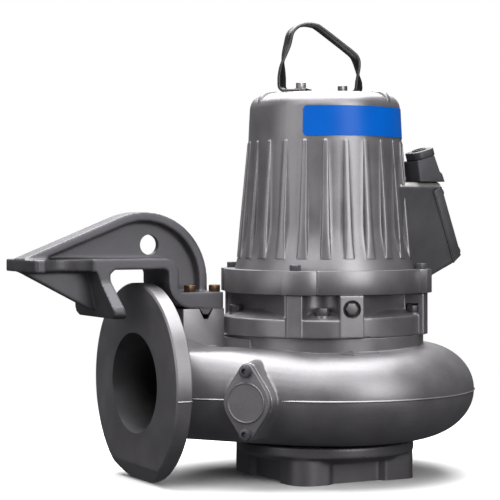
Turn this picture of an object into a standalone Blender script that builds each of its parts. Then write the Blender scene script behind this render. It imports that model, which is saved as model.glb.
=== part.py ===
"""Submersible sewage pump: a cast volute with a flanged outlet, a ribbed motor
housing, a lifting bail, a cable box and the guide claw bolted over the outlet.

Metres, +Z up. The motor shaft is vertical and the outlet points along -X.
The origin is the centre of the footprint, on the plane that the foot rests on.
Everything is placed from the motor axis, which an empty carries. The heights
below are measured from a datum a little above the floor.
"""

import math

import bmesh
import bpy
from mathutils import Vector

# Motor axis in the part's frame, so that the origin is the middle of the box
MOTOR_X = 0.1093
MOTOR_Y = -0.0207
FOOT_BOTTOM = -0.0025
FIT_GAP = 0.0003

# Foot: a round cover under the volute, on a square skirt with four round lobes
FOOT_X = -0.003
FOOT_HALF = 0.0975
FOOT_CORNER_R = (0.032, 0.012)
FOOT_RECESS = 0.008
FOOT_RECESS_HALF = 0.038
FOOT_TOP = 0.0520
COVER_RING_R = 0.129
COVER_RING_BOTTOM = 0.0358
SUCTION_R = 0.075
SUCTION_FLARE = 0.009
SUCTION_FLARE_TOP = 0.020

# Volute: a snail shell whose outer radius swells towards the back
VOLUTE_BOTTOM = 0.0525
VOLUTE_PARTING = 0.122
VOLUTE_TOP = 0.189
VOLUTE_MEAN_R = 0.213
VOLUTE_SWELL = 0.027
VOLUTE_SWELL_ANGLE = math.radians(50)
VOLUTE_ROUNDING = (0.40, 0.36)
HOLLOW_ROUNDING = (0.34, 0.32)
HOLLOW_HEIGHTS = (0.0645, 0.176)
VOLUTE_WALL = 0.013
VOLUTE_EYE_R = 0.113
COLLAR_R = 0.1435
COLLAR_TOP = 0.2050
COLLAR_BORE_R = 0.118
RIM_STEP = 0.0004

# Outlet: the neck and its round flange, on a line behind the motor axis
OUTLET_Y = 0.070
OUTLET_Z = 0.137
NECK_HALF = (0.092, 0.0785)
NECK_WALL = (0.0145, 0.0070)
NECK_SPREAD = 0.038
NECK_NARROWING = 0.014
NECK_SHIFT = (0.025, 0.018)
DISCHARGE_TOP = 0.186
FLANGE_R = 0.1425
FLANGE_FACE_X = -0.274
FLANGE_THICKNESS = 0.024
FLANGE_BEVEL_TOP = 0.0207
FLANGE_BEVEL_DEPTH = 0.0155

# Claw pad on top of the neck, with a V groove across it
PAD_X = (-0.218, -0.1525)
PAD_HALF_WIDTH = 0.045
PAD_TOP = 0.2425
PAD_ROOT_Z = 0.170
STEP_TOP = 0.2010
STEP_OUTLINE = [(-0.1535, 0.114), (-0.1535, 0.0255), (-0.1425, -0.033), (-0.080, -0.033), (-0.080, 0.114)]
KEY_X = -0.182
KEY_HALF_WIDTH = 0.010
KEY_DEPTH = 0.012
KEY_GROOVE_DEPTH = 0.015

# Wet end: insert ring, impeller with two swept vanes, its screw and the shaft
INSERT_BORE_R = 0.072
INSERT_TOP = 0.066
VANE_LOW = 0.069
VANE_HIGH = 0.144
VANE_HALF = 0.0035
VANE_SWEEP = 150
SHROUD_LOW = 0.141
SHROUD_TOP = 0.150
SHAFT_R = 0.019

# Oil housing between volute and motor: its bolted flange has a sloping top and is wider
# on the near side. The wall is flat behind the bolts, and has a round pocket for the front one
HOUSING_LEDGE_Z = 0.2300
HOUSING_LEDGE_SLOPE = 0.40
HOUSING_WIDE_R = 0.150
HOUSING_WIDE_ANGLES = (-213.0, -99.3)
HOUSING_WALL_R = 0.1415
HOUSING_WALL_CORE_R = 0.110
HOUSING_WALL_LOW = 0.2113
HOUSING_FLATS = [(-177, 0.1187), (-66, 0.1200), (24, 0.1225), (96, 0.1225)]
POCKET_ANGLE = math.radians(-122.6)
POCKET_CENTRE_R = 0.1501
POCKET_R = 0.0276
HOUSING_BOTTOM = 0.188
HOUSING_TOP = 0.2645
LOBE_ANGLES = [math.radians(43 + 90 * number) for number in range(4)]
COLUMN_R = 0.1515
COLUMN_HALF_WIDTH = 0.0125
COLUMN_CHAMFER = 0.002
PLUG_ANGLE = math.radians(-106)
PLUG_Z = 0.2456
PLUG_R = 0.0088
PLUG_WASHER_R = 0.0115
PLUG_RECESS_R = 0.0128
PLUG_PAD_HALF = 0.0170
PLUG_SEAT_R = 0.1445

# Motor housing
RING_BOTTOM = 0.2648
RING_TOP = 0.2985
RING_R = 0.147
RING_LOBE = [(0.095, -0.0165), (0.1570, -0.0165), (0.1570, 0.0124), (0.1470, 0.0318), (0.095, 0.0318)]
RIB_COUNT = 24
RIB_BOTTOM = (0.3148, 0.1288, 0.0066)
RIB_TOP = (0.4820, 0.1134, 0.0030)
MOTOR_TOP = 0.552
MOTOR_PROFILE = [
    (0.1318, 0.2986), (0.1288, 0.3110), (0.1222, 0.3350), (0.1172, 0.3550), (0.1155, 0.3900),
    (0.1132, 0.4500), (0.1112, 0.5050), (0.1100, 0.5280), (0.1085, 0.5367), (0.1040, 0.5445),
    (0.0960, 0.5495), (0.0860, 0.5520),
]
SHOULDER_LUG = [
    (0.0800, 0.5400), (0.1090, 0.5400), (0.1072, 0.5480), (0.1022, 0.5535), (0.0950, 0.5560),
    (0.0800, 0.5560),
]
SHOULDER_LUG_HALF = 0.0050
SHOULDER_LUG_ANGLES = (math.radians(-62), math.radians(58), math.radians(178))
LABEL_BOTTOM = 0.4875
LABEL_TOP = 0.5300
LABEL_ANGLES = (math.radians(-136.5), math.radians(-2))
LABEL_R = (0.1127, 0.1105)
LABEL_THICKNESS = 0.0008

# Lifting bail: a flat bar whose legs are twisted between the feet and the loop
BAIL_WIDTH = 0.026
BAIL_THICKNESS = 0.0045
BAIL_FOOT_Z = 0.5535
BAIL_PLANE = math.radians(10)
BAIL_FOOT_TURN = math.radians(50)
BAIL_LEGS = (-0.0668, 0.0531)
BAIL_BEND_R = 0.009
BAIL_BOLT_REACH = (0.0298, 0.0250)
BAIL_FOOT_REACH = 0.042
BAIL_BOSS_R = 0.0155

# Cable box on the side away from the outlet, with a cast lid on a gasket
BOX_HALF_WIDTH = 0.088
BOX_TOP = 0.4245
BOX_SEAT_TOP = (0.1312, 0.4110)
BOX_SEAT_BOTTOM = (0.1670, 0.3062)
BOX_LEDGE = (0.1450, 0.4165)
BOX_EDGE_CHAMFER = 0.007
LID_THICKNESS = 0.0150
GASKET_THICKNESS = 0.0012

# Cable entry on the box, leaning towards the motor
ENTRY_X = 0.1275
ENTRY_Y = -0.071
ENTRY_TILT = math.radians(-16)
ENTRY_HEIGHT = 0.035
CLAMP_THICKNESS = 0.0112
CLAMP_SHIFT = 0.003
CABLE_HOLE_R = 0.0105
BUSH_BORE_R = 0.0074

# Guide claw
CLAW_NOSE_X = -0.449
CLAW_SHELF_Z = (0.2975, 0.3145)
CLAW_HALF_WIDTH = 0.045
CLAW_HORN_HALF = 0.060
CLAW_BAR_X = -0.3925
CLAW_BAR_R = 0.036
CLAW_WEB_HALF = 0.005
CLAW_GUSSET_HALF = 0.0075
CLAW_RIM_HALF = 0.020
CLAW_RIM_THICKNESS = 0.0130
CLAW_ARC_CENTRE = (-0.2665, 0.2810)
CLAW_ARC_R = 0.0993
CLAW_TANGENT = 111.7
CLAW_FOOT_Z = (PAD_TOP + FIT_GAP, 0.266)
CLAW_HOLE = (-0.2525, 0.3337)
CLAW_HOLE_R = 0.0145

# Inspection cover on the near side of the volute, where the neck begins
INSPECTION_ANGLE = math.radians(-151)
INSPECTION_FACING = math.radians(-143)
INSPECTION_RADIUS = 0.2050
INSPECTION_Z = 0.1203
INSPECTION_PLATE_R = 0.0345
INSPECTION_DISC_R = 0.0280
INSPECTION_LOBE_R = 0.0105
INSPECTION_REACH = 0.0430

# Finishes: linear colour, roughness, metallic
LOOKS = {
    "painted_iron": ((0.21, 0.21, 0.22), 0.45, 0.0),
    "bare_iron": ((0.16, 0.155, 0.15), 0.55, 0.6),
    "stainless": ((0.55, 0.55, 0.56), 0.30, 1.0),
    "dark_strip": ((0.18, 0.18, 0.19), 0.40, 0.8),
    "rubber": ((0.02, 0.02, 0.02), 0.80, 0.0),
    "blue_film": ((0.0, 0.12, 0.62), 0.35, 0.0),
}


def rotation_about_z(angle):
    """Return a function that turns a point about the motor axis."""
    cosine, sine = math.cos(angle), math.sin(angle)
    return lambda p: (p[0] * cosine - p[1] * sine, p[0] * sine + p[1] * cosine, p[2])


def turn_outline(outline, angle):
    turn = rotation_about_z(angle)
    return [turn((x, y, 0.0))[:2] for x, y in outline]


def empty_scene():
    for item in list(bpy.data.objects):
        bpy.data.objects.remove(item, do_unlink=True)


def make_axis():
    axis = bpy.data.objects.new("motor_axis", None)
    axis.location = (MOTOR_X, MOTOR_Y, -FOOT_BOTTOM)
    bpy.context.scene.collection.objects.link(axis)
    return axis


def make_material(name, look):
    colour, roughness, metallic = LOOKS[look]
    material = bpy.data.materials.new(name)
    material.use_nodes = True
    shader = material.node_tree.nodes["Principled BSDF"]
    shader.inputs["Base Color"].default_value = (*colour, 1.0)
    shader.inputs["Roughness"].default_value = roughness
    shader.inputs["Metallic"].default_value = metallic
    return material


def add_object(name, mesh_builder, axis):
    """Turn a bmesh into an object that hangs on the motor axis."""
    bmesh.ops.recalc_face_normals(mesh_builder, faces=mesh_builder.faces)
    mesh = bpy.data.meshes.new(name)
    mesh_builder.to_mesh(mesh)
    mesh_builder.free()
    item = bpy.data.objects.new(name, mesh)
    bpy.context.scene.collection.objects.link(item)
    item.parent = axis
    return item


def bridge_rings(rings):
    """Skin a list of equal rings of points, with flat ends."""
    builder = bmesh.new()
    loops = [[builder.verts.new(p) for p in ring] for ring in rings]
    count = len(loops[0])
    for low, high in zip(loops, loops[1:]):
        for i in range(count):
            j = (i + 1) % count
            builder.faces.new((low[i], low[j], high[j], high[i]))
    builder.faces.new(loops[0])
    builder.faces.new(list(reversed(loops[-1])))
    return builder


def turned(name, profile, segments, axis, centre=(0.0, 0.0), phase=0.0):
    """Turn a closed (radius, height) profile that starts and ends on the axis.

    A tool's phase keeps its corners off the straight edges of what it meets."""
    builder = bmesh.new()
    rings = []
    for radius, height in profile:
        if radius == 0:
            rings.append([builder.verts.new((centre[0], centre[1], height))])
            continue
        ring = []
        for i in range(segments):
            angle = 2 * math.pi * (i + phase) / segments
            x = centre[0] + radius * math.cos(angle)
            y = centre[1] + radius * math.sin(angle)
            ring.append(builder.verts.new((x, y, height)))
        rings.append(ring)
    for low, high in zip(rings, rings[1:]):
        for i in range(segments):
            j = (i + 1) % segments
            if len(low) == 1:
                builder.faces.new((low[0], high[j], high[i]))
            elif len(high) == 1:
                builder.faces.new((low[i], low[j], high[0]))
            else:
                builder.faces.new((low[i], low[j], high[j], high[i]))
    return add_object(name, builder, axis)


def disc(name, radius, low, high, axis, segments=48, centre=(0.0, 0.0), phase=0.0):
    profile = [(0, low), (radius, low), (radius, high), (0, high)]
    return turned(name, profile, segments, axis, centre, phase)


def ring_solid(name, outer, inner, low, high, axis, segments=64):
    """A flat ring with a square section."""
    builder = bmesh.new()
    corners = [(outer, low), (outer, high), (inner, high), (inner, low)]
    loops = []
    for i in range(segments):
        angle = 2 * math.pi * i / segments
        c, s = math.cos(angle), math.sin(angle)
        loops.append([builder.verts.new((r * c, r * s, z)) for r, z in corners])
    for i in range(segments):
        here, there = loops[i], loops[(i + 1) % segments]
        for k in range(4):
            m = (k + 1) % 4
            builder.faces.new((here[k], there[k], there[m], here[m]))
    return add_object(name, builder, axis)


def prism(name, outline, low, high, axis, along="z"):
    """Extrude a flat outline along one direction of the frame."""

    def place(a, b, t):
        return {"x": (t, a, b), "y": (a, t, b), "z": (a, b, t)}[along]

    rings = [[place(a, b, t) for a, b in outline] for t in (low, high)]
    return add_object(name, bridge_rings(rings), axis)


def block(name, x, y, z, axis):
    outline = [(x[0], y[0]), (x[1], y[0]), (x[1], y[1]), (x[0], y[1])]
    return prism(name, outline, z[0], z[1], axis)


def arc(centre, radius, start, end, steps):
    """Points on an arc, both ends included, angles in degrees."""
    points = []
    for i in range(steps + 1):
        angle = math.radians(start + (end - start) * i / steps)
        points.append((centre[0] + radius * math.cos(angle), centre[1] + radius * math.sin(angle)))
    return points


def rod(name, start, end, radius, axis, segments=24):
    """A round bar between two points."""
    start, end = Vector(start), Vector(end)
    direction = (end - start).normalized()
    side = direction.orthogonal().normalized()
    up = direction.cross(side)
    rings = []
    for centre in (start, end):
        ring = []
        for i in range(segments):
            angle = 2 * math.pi * i / segments
            ring.append(centre + side * (radius * math.cos(angle)) + up * (radius * math.sin(angle)))
        rings.append(ring)
    return add_object(name, bridge_rings(rings), axis)


def combine(target, tool, operation):
    """Join or cut target with tool, and keep the tool as a hidden guide."""
    tool.hide_render = True
    tool.display_type = "WIRE"
    modifier = target.modifiers.new(tool.name, "BOOLEAN")
    modifier.operation = operation
    modifier.solver = "EXACT"
    modifier.object = tool


def join(target, *tools):
    for tool in tools:
        combine(target, tool, "UNION")


def cut(target, *tools):
    for tool in tools:
        combine(target, tool, "DIFFERENCE")


def finish(item, look, smooth_angle=35):
    """Give a sub-part its own material, and shade its round faces smooth."""
    item.data.materials.append(make_material(f"{item.name}_{look}", look))
    item.data.shade_smooth()
    item.data.set_sharp_from_angle(angle=math.radians(smooth_angle))


def volute_radius(angle):
    return VOLUTE_MEAN_R + VOLUTE_SWELL * math.cos(angle - VOLUTE_SWELL_ANGLE)


def shell_profile(radius, heights, rounding, low_spigot, high_spigot, steps):
    """One side of the shell from its lower spigot to its upper one, as (radius, height)."""
    profile = []
    for k in range(2 * steps + 1):
        turn = math.pi * (k / (2 * steps) - 0.5)
        height = VOLUTE_PARTING - heights[0] if turn < 0 else heights[1] - VOLUTE_PARTING
        share = rounding[0] if turn < 0 else rounding[1]
        r = radius - share * radius * (1 - math.cos(turn))
        if turn > 0:
            r = max(r, high_spigot[0] + RIM_STEP * (2 * steps - k))
        profile.append((r, VOLUTE_PARTING + height * math.sin(turn)))
    if low_spigot[0] > 0:
        profile = [low_spigot, (low_spigot[0], heights[0])] + profile
    return profile + [(high_spigot[0], heights[1] + 0.001), high_spigot]


def snail_shell(
    name, inset, heights, rounding, low_spigot, high_spigot, axis, segments=64, steps=6, phase=0.0
):
    """The round shell of the volute, or its hollow when inset is the wall.

    A spigot is a (radius, height) collar that runs on from the shell's flat."""
    builder = bmesh.new()
    low_pole = builder.verts.new((0, 0, low_spigot[1]))
    high_pole = builder.verts.new((0, 0, high_spigot[1]))
    columns = []
    for i in range(segments):
        angle = 2 * math.pi * (i + phase) / segments
        c, s = math.cos(angle), math.sin(angle)
        radius = volute_radius(angle) - inset
        profile = shell_profile(radius, heights, rounding, low_spigot, high_spigot, steps)
        columns.append([builder.verts.new((r * c, r * s, z)) for r, z in profile])
    for i in range(segments):
        here, there = columns[i], columns[(i + 1) % segments]
        builder.faces.new((low_pole, there[0], here[0]))
        builder.faces.new((high_pole, here[-1], there[-1]))
        for low in range(len(here) - 1):
            builder.faces.new((here[low], there[low], there[low + 1], here[low + 1]))
    return add_object(name, builder, axis)


def neck_section(x, inset, segments):
    """One oval section of the outlet neck, wide near the shell and rounder at the flange.

    The inset is how much narrower and lower it is than the outside of the neck."""
    reach = (x - (FLANGE_FACE_X + 0.030)) / 0.12
    spread = max(0.0, min(1.0, reach))
    spread = spread * spread * (3 - 2 * spread)
    half_width = NECK_HALF[0] + spread * NECK_SPREAD - inset[0]
    half_height = NECK_HALF[1] - spread * NECK_NARROWING - inset[1]
    centre_y = OUTLET_Y + spread * NECK_SHIFT[0]
    centre_z = OUTLET_Z - spread * NECK_SHIFT[1]
    ring = []
    for i in range(segments):
        angle = 2 * math.pi * i / segments
        y = centre_y + half_width * math.cos(angle)
        z = centre_z + half_height * math.sin(angle)
        ring.append((x, y, z))
    return ring


def neck_body(name, inset, ends, axis, steps=7, segments=40):
    rings = []
    for i in range(steps + 1):
        x = ends[0] + (ends[1] - ends[0]) * i / steps
        rings.append(neck_section(x, inset, segments))
    return add_object(name, bridge_rings(rings), axis)


def discharge_hull(name, axis):
    """The flank where the shell runs out into the neck: the tight skin round both."""
    builder = bmesh.new()
    for x, y, z in neck_section(FLANGE_FACE_X + 0.014, (0.002, 0.002), 40):
        builder.verts.new((x, y, min(z, DISCHARGE_TOP)))
    low_spigot, high_spigot = (0.0, VOLUTE_BOTTOM), (COLLAR_R, VOLUTE_TOP)
    for step in range(8):
        angle = math.radians(-160 + 5.7 * step)
        radius = volute_radius(angle)
        heights = (VOLUTE_BOTTOM, VOLUTE_TOP)
        profile = shell_profile(radius - 0.0005, heights, VOLUTE_ROUNDING, low_spigot, high_spigot, 6)
        for r, z in profile[:-2]:
            builder.verts.new((r * math.cos(angle), r * math.sin(angle), z))
    skin = bmesh.ops.convex_hull(builder, input=builder.verts)
    bmesh.ops.delete(builder, geom=skin["geom_interior"], context="VERTS")
    return add_object(name, builder, axis)


def make_suction_cover(axis):
    """The foot: a square skirt with round corners under a round plate."""
    outline = []
    for quarter in range(4):
        radius = FOOT_CORNER_R[quarter % 2]
        side = [(FOOT_HALF, -FOOT_RECESS_HALF - FOOT_RECESS), (FOOT_HALF - FOOT_RECESS, -FOOT_RECESS_HALF)]
        side += [(FOOT_HALF - FOOT_RECESS, FOOT_RECESS_HALF), (FOOT_HALF, FOOT_RECESS_HALF + FOOT_RECESS)]
        side += arc((FOOT_HALF - radius, FOOT_HALF - radius), radius, 0, 90, 5)
        outline += turn_outline(side, math.radians(90 * quarter))
    outline = [(x + FOOT_X, y) for x, y in outline]
    cover = prism("suction_cover", outline, FOOT_BOTTOM, FOOT_TOP, axis)
    join(cover, disc("cover_plate_guide", COVER_RING_R, COVER_RING_BOTTOM, FOOT_TOP - 0.0002, axis, 64))
    profile = [(0, FOOT_BOTTOM - 0.010), (SUCTION_R + SUCTION_FLARE, FOOT_BOTTOM - 0.010)]
    profile += [(SUCTION_R + SUCTION_FLARE, FOOT_BOTTOM), (SUCTION_R, SUCTION_FLARE_TOP)]
    profile += [(SUCTION_R, 0.060), (0, 0.060)]
    cut(cover, turned("suction_guide", profile, 48, axis))
    finish(cover, "painted_iron")


def make_volute(axis):
    heights = (VOLUTE_BOTTOM, VOLUTE_TOP)
    ends = ((0.0, VOLUTE_BOTTOM), (COLLAR_R, COLLAR_TOP))
    casing = snail_shell("volute_casing", 0.0, heights, VOLUTE_ROUNDING, *ends, axis)
    neck = neck_body("neck_guide", (0.0, 0.0), (FLANGE_FACE_X + 0.012, -0.040), axis)
    face = Vector((FLANGE_FACE_X, OUTLET_Y, OUTLET_Z))
    flange = rod("flange_guide", face, face + Vector((FLANGE_THICKNESS, 0, 0)), FLANGE_R, axis, 64)
    sides = (OUTLET_Y - PAD_HALF_WIDTH, OUTLET_Y + PAD_HALF_WIDTH)
    pad = block("pad_guide", PAD_X, sides, (PAD_ROOT_Z, PAD_TOP), axis)
    step = prism("step_guide", STEP_OUTLINE, PAD_ROOT_Z - 0.005, STEP_TOP, axis)
    boss = inspection_plate("inspection_boss_guide", 0.0005, (-0.045, 0.0), axis, 0.004)
    join(casing, neck, flange, pad, step, discharge_hull("discharge_guide", axis), boss)

    ends = ((VOLUTE_EYE_R, 0.030), (COLLAR_BORE_R, 0.220))
    hollow = snail_shell(
        "hollow_guide", VOLUTE_WALL, HOLLOW_HEIGHTS, HOLLOW_ROUNDING, *ends, axis, 48, 4, 0.37
    )
    passage = neck_body("passage_guide", NECK_WALL, (FLANGE_FACE_X - 0.010, -0.060), axis, 6, 36)
    groove = key_prism("groove_guide", PAD_TOP, KEY_GROOVE_DEPTH, PAD_HALF_WIDTH + 0.005, axis, 0.001)
    bevel_outline = [(FLANGE_FACE_X - 0.020, FLANGE_BEVEL_TOP), (FLANGE_FACE_X, FLANGE_BEVEL_TOP)]
    bevel_outline += [(FLANGE_FACE_X + FLANGE_BEVEL_DEPTH, -0.012), (FLANGE_FACE_X - 0.020, -0.012)]
    bevel = prism("flange_bevel_guide", bevel_outline, -0.13, 0.27, axis, along="y")
    floor_cut = block("flange_trim_guide", (-0.30, -0.20), (-0.2, 0.3), (-0.05, FOOT_BOTTOM + 0.0005), axis)
    cut(casing, hollow, passage, groove, bevel, floor_cut)
    finish(casing, "painted_iron")


def key_prism(name, top, depth, half_length, axis, lift=0.0):
    """The V key across the claw's foot, or its groove in the pad."""
    tip = KEY_HALF_WIDTH * 0.35
    outline = [(KEY_X - KEY_HALF_WIDTH - lift, top + lift), (KEY_X - tip, top - depth)]
    outline += [(KEY_X + tip, top - depth), (KEY_X + KEY_HALF_WIDTH + lift, top + lift)]
    return prism(name, outline, OUTLET_Y - half_length, OUTLET_Y + half_length, axis, along="y")


def inspection_frame():
    """Centre of the inspection cover's seat, and the way that it faces."""
    normal = Vector((math.cos(INSPECTION_FACING), math.sin(INSPECTION_FACING), 0))
    centre = Vector((math.cos(INSPECTION_ANGLE), math.sin(INSPECTION_ANGLE), 0)) * INSPECTION_RADIUS
    centre.z = INSPECTION_Z
    return centre, normal


def inspection_plate(name, grow, depth, axis, taper=0.0):
    """The rhombic outline of the inspection cover, drawn on the side of the volute.

    Depth is measured outwards from the boss, and taper widens the inner end."""
    centre, normal = inspection_frame()
    side = Vector((-normal.y, normal.x, 0))
    reach = INSPECTION_REACH
    rings = []
    for height, extra in ((depth[0], taper), (depth[1], 0.0)):
        big, small = INSPECTION_PLATE_R + grow + extra, INSPECTION_LOBE_R + grow + extra
        lean = math.degrees(math.acos((big - small) / reach))
        points = arc((0, 0), big, lean - 90, 90 - lean, 6)
        points += arc((0, reach), small, 90 - lean, 90 + lean, 5)
        points += arc((0, 0), big, 90 + lean, 270 - lean, 6)
        points += arc((0, -reach), small, 270 - lean, 270 + lean, 5)
        rings.append([centre + normal * height + side * a + Vector((0, 0, b)) for a, b in points])
    return add_object(name, bridge_rings(rings), axis)


def make_inspection_cover(axis):
    gasket = inspection_plate("inspection_gasket", -0.0005, (FIT_GAP, 0.0015), axis)
    finish(gasket, "rubber")
    cover = inspection_plate("inspection_cover", 0.0, (0.0018, 0.0090), axis)
    centre, normal = inspection_frame()
    disc_ends = (centre + normal * 0.004, centre + normal * 0.0112)
    face = rod("inspection_disc_guide", *disc_ends, INSPECTION_DISC_R, axis, 32)
    join(cover, face)
    finish(cover, "painted_iron")


def make_vane(number, axis):
    """One swept vane of the impeller, from the hub to the shroud's edge."""
    steps = 8
    rings = []
    for step in range(steps + 1):
        share = step / steps
        radius = 0.024 + 0.080 * share
        angle = math.radians(180 * number - VANE_SWEEP * share)
        lean = angle - math.radians(60)
        centre = Vector((radius * math.cos(angle), radius * math.sin(angle), 0))
        side = Vector((-math.sin(lean), math.cos(lean), 0)) * VANE_HALF
        ring = [centre - side, centre + side, centre + side, centre - side]
        heights = (VANE_LOW, VANE_LOW, VANE_HIGH, VANE_HIGH)
        rings.append([(p.x, p.y, z) for p, z in zip(ring, heights)])
    return add_object(f"vane_{number + 1}_guide", bridge_rings(rings), axis)


def make_hydraulics(axis):
    ring = ring_solid(
        "insert_ring", VOLUTE_EYE_R - FIT_GAP, INSERT_BORE_R, VOLUTE_BOTTOM + 0.0001, INSERT_TOP, axis, 48
    )
    finish(ring, "bare_iron")

    profile = [(0, SHROUD_TOP), (0.100, SHROUD_TOP), (0.108, 0.146), (0.108, SHROUD_LOW)]
    profile += [(0.050, 0.134), (0.034, 0.110), (0.028, 0.084), (0, 0.084)]
    impeller = turned("impeller", profile, 48, axis)
    for number in range(2):
        join(impeller, make_vane(number, axis))
    finish(impeller, "bare_iron")

    profile = [(0, 0.0745), (0.011, 0.0745), (0.0125, 0.0765), (0.0125, 0.0837), (0, 0.0837)]
    finish(turned("impeller_screw", profile, 24, axis), "stainless")
    shaft = disc("motor_shaft", SHAFT_R, SHROUD_TOP + FIT_GAP, HOUSING_BOTTOM - FIT_GAP, axis, 32)
    finish(shaft, "stainless")


def column_prism(name, angle, radius, half_width, low, high, axis, chamfer):
    """A cast lobe that stands out of a round wall, with chamfered corners."""
    corner = radius - chamfer
    flat = [(0.100, -half_width), (corner, -half_width), (radius, -half_width + chamfer)]
    flat += [(radius, half_width - chamfer), (corner, half_width), (0.100, half_width)]
    return prism(name, turn_outline(flat, angle), low, high, axis)


def housing_wall_radius(angle):
    """Radius of the oil housing's wall: round, with its flats and the front pocket."""
    reach = HOUSING_WALL_R
    for facing, apothem in HOUSING_FLATS:
        turn = math.cos(angle - math.radians(facing))
        if turn > 0.5:
            reach = min(reach, apothem / turn)
    ahead = POCKET_CENTRE_R * math.cos(angle - POCKET_ANGLE)
    aside = POCKET_CENTRE_R * math.sin(angle - POCKET_ANGLE)
    if ahead > 0 and abs(aside) < POCKET_R:
        reach = min(reach, ahead - math.sqrt(POCKET_R**2 - aside**2))
    return reach


def ledge_height(radius):
    """Height of the sloping top of the bolted flange."""
    return HOUSING_LEDGE_Z + (HOUSING_WIDE_R - radius) * HOUSING_LEDGE_SLOPE


def wide_flange(name, low, axis):
    """The wider part of the bolted flange, on the near side."""
    rings = []
    core = HOUSING_WALL_CORE_R
    rim = [(HOUSING_WIDE_R, low), (HOUSING_WIDE_R, HOUSING_LEDGE_Z), (core, ledge_height(core))]
    for radius, height in rim:
        edge = arc((0, 0), radius, *HOUSING_WIDE_ANGLES, 26)
        rings.append([(x, y, height) for x, y in edge + [(0.0, 0.0)]])
    return add_object(name, bridge_rings(rings), axis)


def make_oil_housing(axis):
    spigot = COLLAR_BORE_R - FIT_GAP
    seat = COLLAR_TOP + FIT_GAP
    core = HOUSING_WALL_CORE_R
    profile = [(0, HOUSING_BOTTOM), (spigot, HOUSING_BOTTOM), (spigot, seat), (COLLAR_R, seat)]
    profile += [(COLLAR_R, ledge_height(COLLAR_R)), (core, ledge_height(core)), (0, ledge_height(core))]
    housing = turned("oil_housing", profile, 64, axis)
    wall = []
    for step in range(96):
        angle = math.radians(3.75 * step + 0.9)
        reach = housing_wall_radius(angle)
        wall.append((reach * math.cos(angle), reach * math.sin(angle)))
    join(housing, prism("oil_wall_guide", wall, HOUSING_WALL_LOW, HOUSING_TOP, axis))
    join(housing, wide_flange("wide_flange_guide", seat, axis))
    for number, angle in enumerate(LOBE_ANGLES):
        name = f"column_{number + 1}_guide"
        sizes = (COLUMN_R, COLUMN_HALF_WIDTH, seat, HOUSING_TOP)
        join(housing, column_prism(name, angle, *sizes, axis, COLUMN_CHAMFER))
    outline = [(0.090, -PLUG_PAD_HALF), (HOUSING_WIDE_R, -PLUG_PAD_HALF)]
    outline += [(HOUSING_WIDE_R, PLUG_PAD_HALF), (0.090, PLUG_PAD_HALF)]
    outline = turn_outline(outline, PLUG_ANGLE)
    join(housing, prism("plug_pad_guide", outline, seat, HOUSING_TOP, axis))
    turn = rotation_about_z(PLUG_ANGLE)

    def plug_piece(name, start, length, radius, segments):
        ends = (turn((start, 0, PLUG_Z)), turn((start + length, 0, PLUG_Z)))
        return rod(name, *ends, radius, axis, segments)

    cut(housing, plug_piece("plug_recess_guide", PLUG_SEAT_R, 0.0155, PLUG_RECESS_R, 32))
    finish(housing, "painted_iron")
    finish(plug_piece("plug_washer", PLUG_SEAT_R + FIT_GAP, 0.0015, PLUG_WASHER_R, 32), "rubber")
    finish(plug_piece("oil_plug", PLUG_SEAT_R + 0.0021, 0.0054, PLUG_R, 6), "stainless")


def make_rib(number, axis):
    """One cooling rib: a strip that widens and stands out more towards its foot."""
    angle = 2 * math.pi * number / RIB_COUNT
    turn = rotation_about_z(angle)
    rings = []
    for z, radius, half in (RIB_BOTTOM, RIB_TOP):
        section = [(0.104, -half * 1.2), (radius, -half), (radius, half), (0.104, half * 1.2)]
        rings.append([turn((x, y, z)) for x, y in section])
    return add_object(f"rib_{number + 1}_guide", bridge_rings(rings), axis)


def cable_box(name, axis):
    """The body of the cable box, chamfered along its upper near and far edges."""
    rings = []
    drop = BOX_EDGE_CHAMFER
    half = BOX_HALF_WIDTH
    for y, low in ((-half, drop), (-half + drop, 0.0), (half - drop, 0.0), (half, drop)):
        side = [(0.040, 0.269), (0.1270, 0.2875), BOX_SEAT_BOTTOM, BOX_SEAT_TOP, BOX_LEDGE]
        side += [(BOX_LEDGE[0], BOX_TOP - low), (0.040, BOX_TOP - low)]
        rings.append([(x, y, z) for x, z in side])
    return add_object(name, bridge_rings(rings), axis)


def make_motor_housing(axis):
    profile = [(0, RING_BOTTOM), (RING_R, RING_BOTTOM), (RING_R, RING_TOP)] + MOTOR_PROFILE
    housing = turned("motor_housing", profile + [(0, MOTOR_TOP)], 72, axis)
    for number, angle in enumerate(LOBE_ANGLES):
        lobe = turn_outline(RING_LOBE, angle)
        join(housing, prism(f"ring_lobe_{number + 1}_guide", lobe, RING_BOTTOM, RING_TOP, axis))
    for number in range(RIB_COUNT):
        join(housing, make_rib(number, axis))
    join(housing, cable_box("box_guide", axis))
    for number, centre in enumerate(bail_bolts()):
        name = f"bail_boss_{number + 1}_guide"
        join(housing, disc(name, BAIL_BOSS_R, 0.545, BAIL_FOOT_Z - FIT_GAP, axis, 24, centre[:2], 0.43))
    for number, angle in enumerate(SHOULDER_LUG_ANGLES):
        turn = rotation_about_z(angle)
        rings = []
        for side in (-SHOULDER_LUG_HALF, SHOULDER_LUG_HALF):
            rings.append([turn((x, side, z)) for x, z in SHOULDER_LUG])
        join(housing, add_object(f"shoulder_lug_{number + 1}_guide", bridge_rings(rings), axis))
    finish(housing, "painted_iron")


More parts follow.
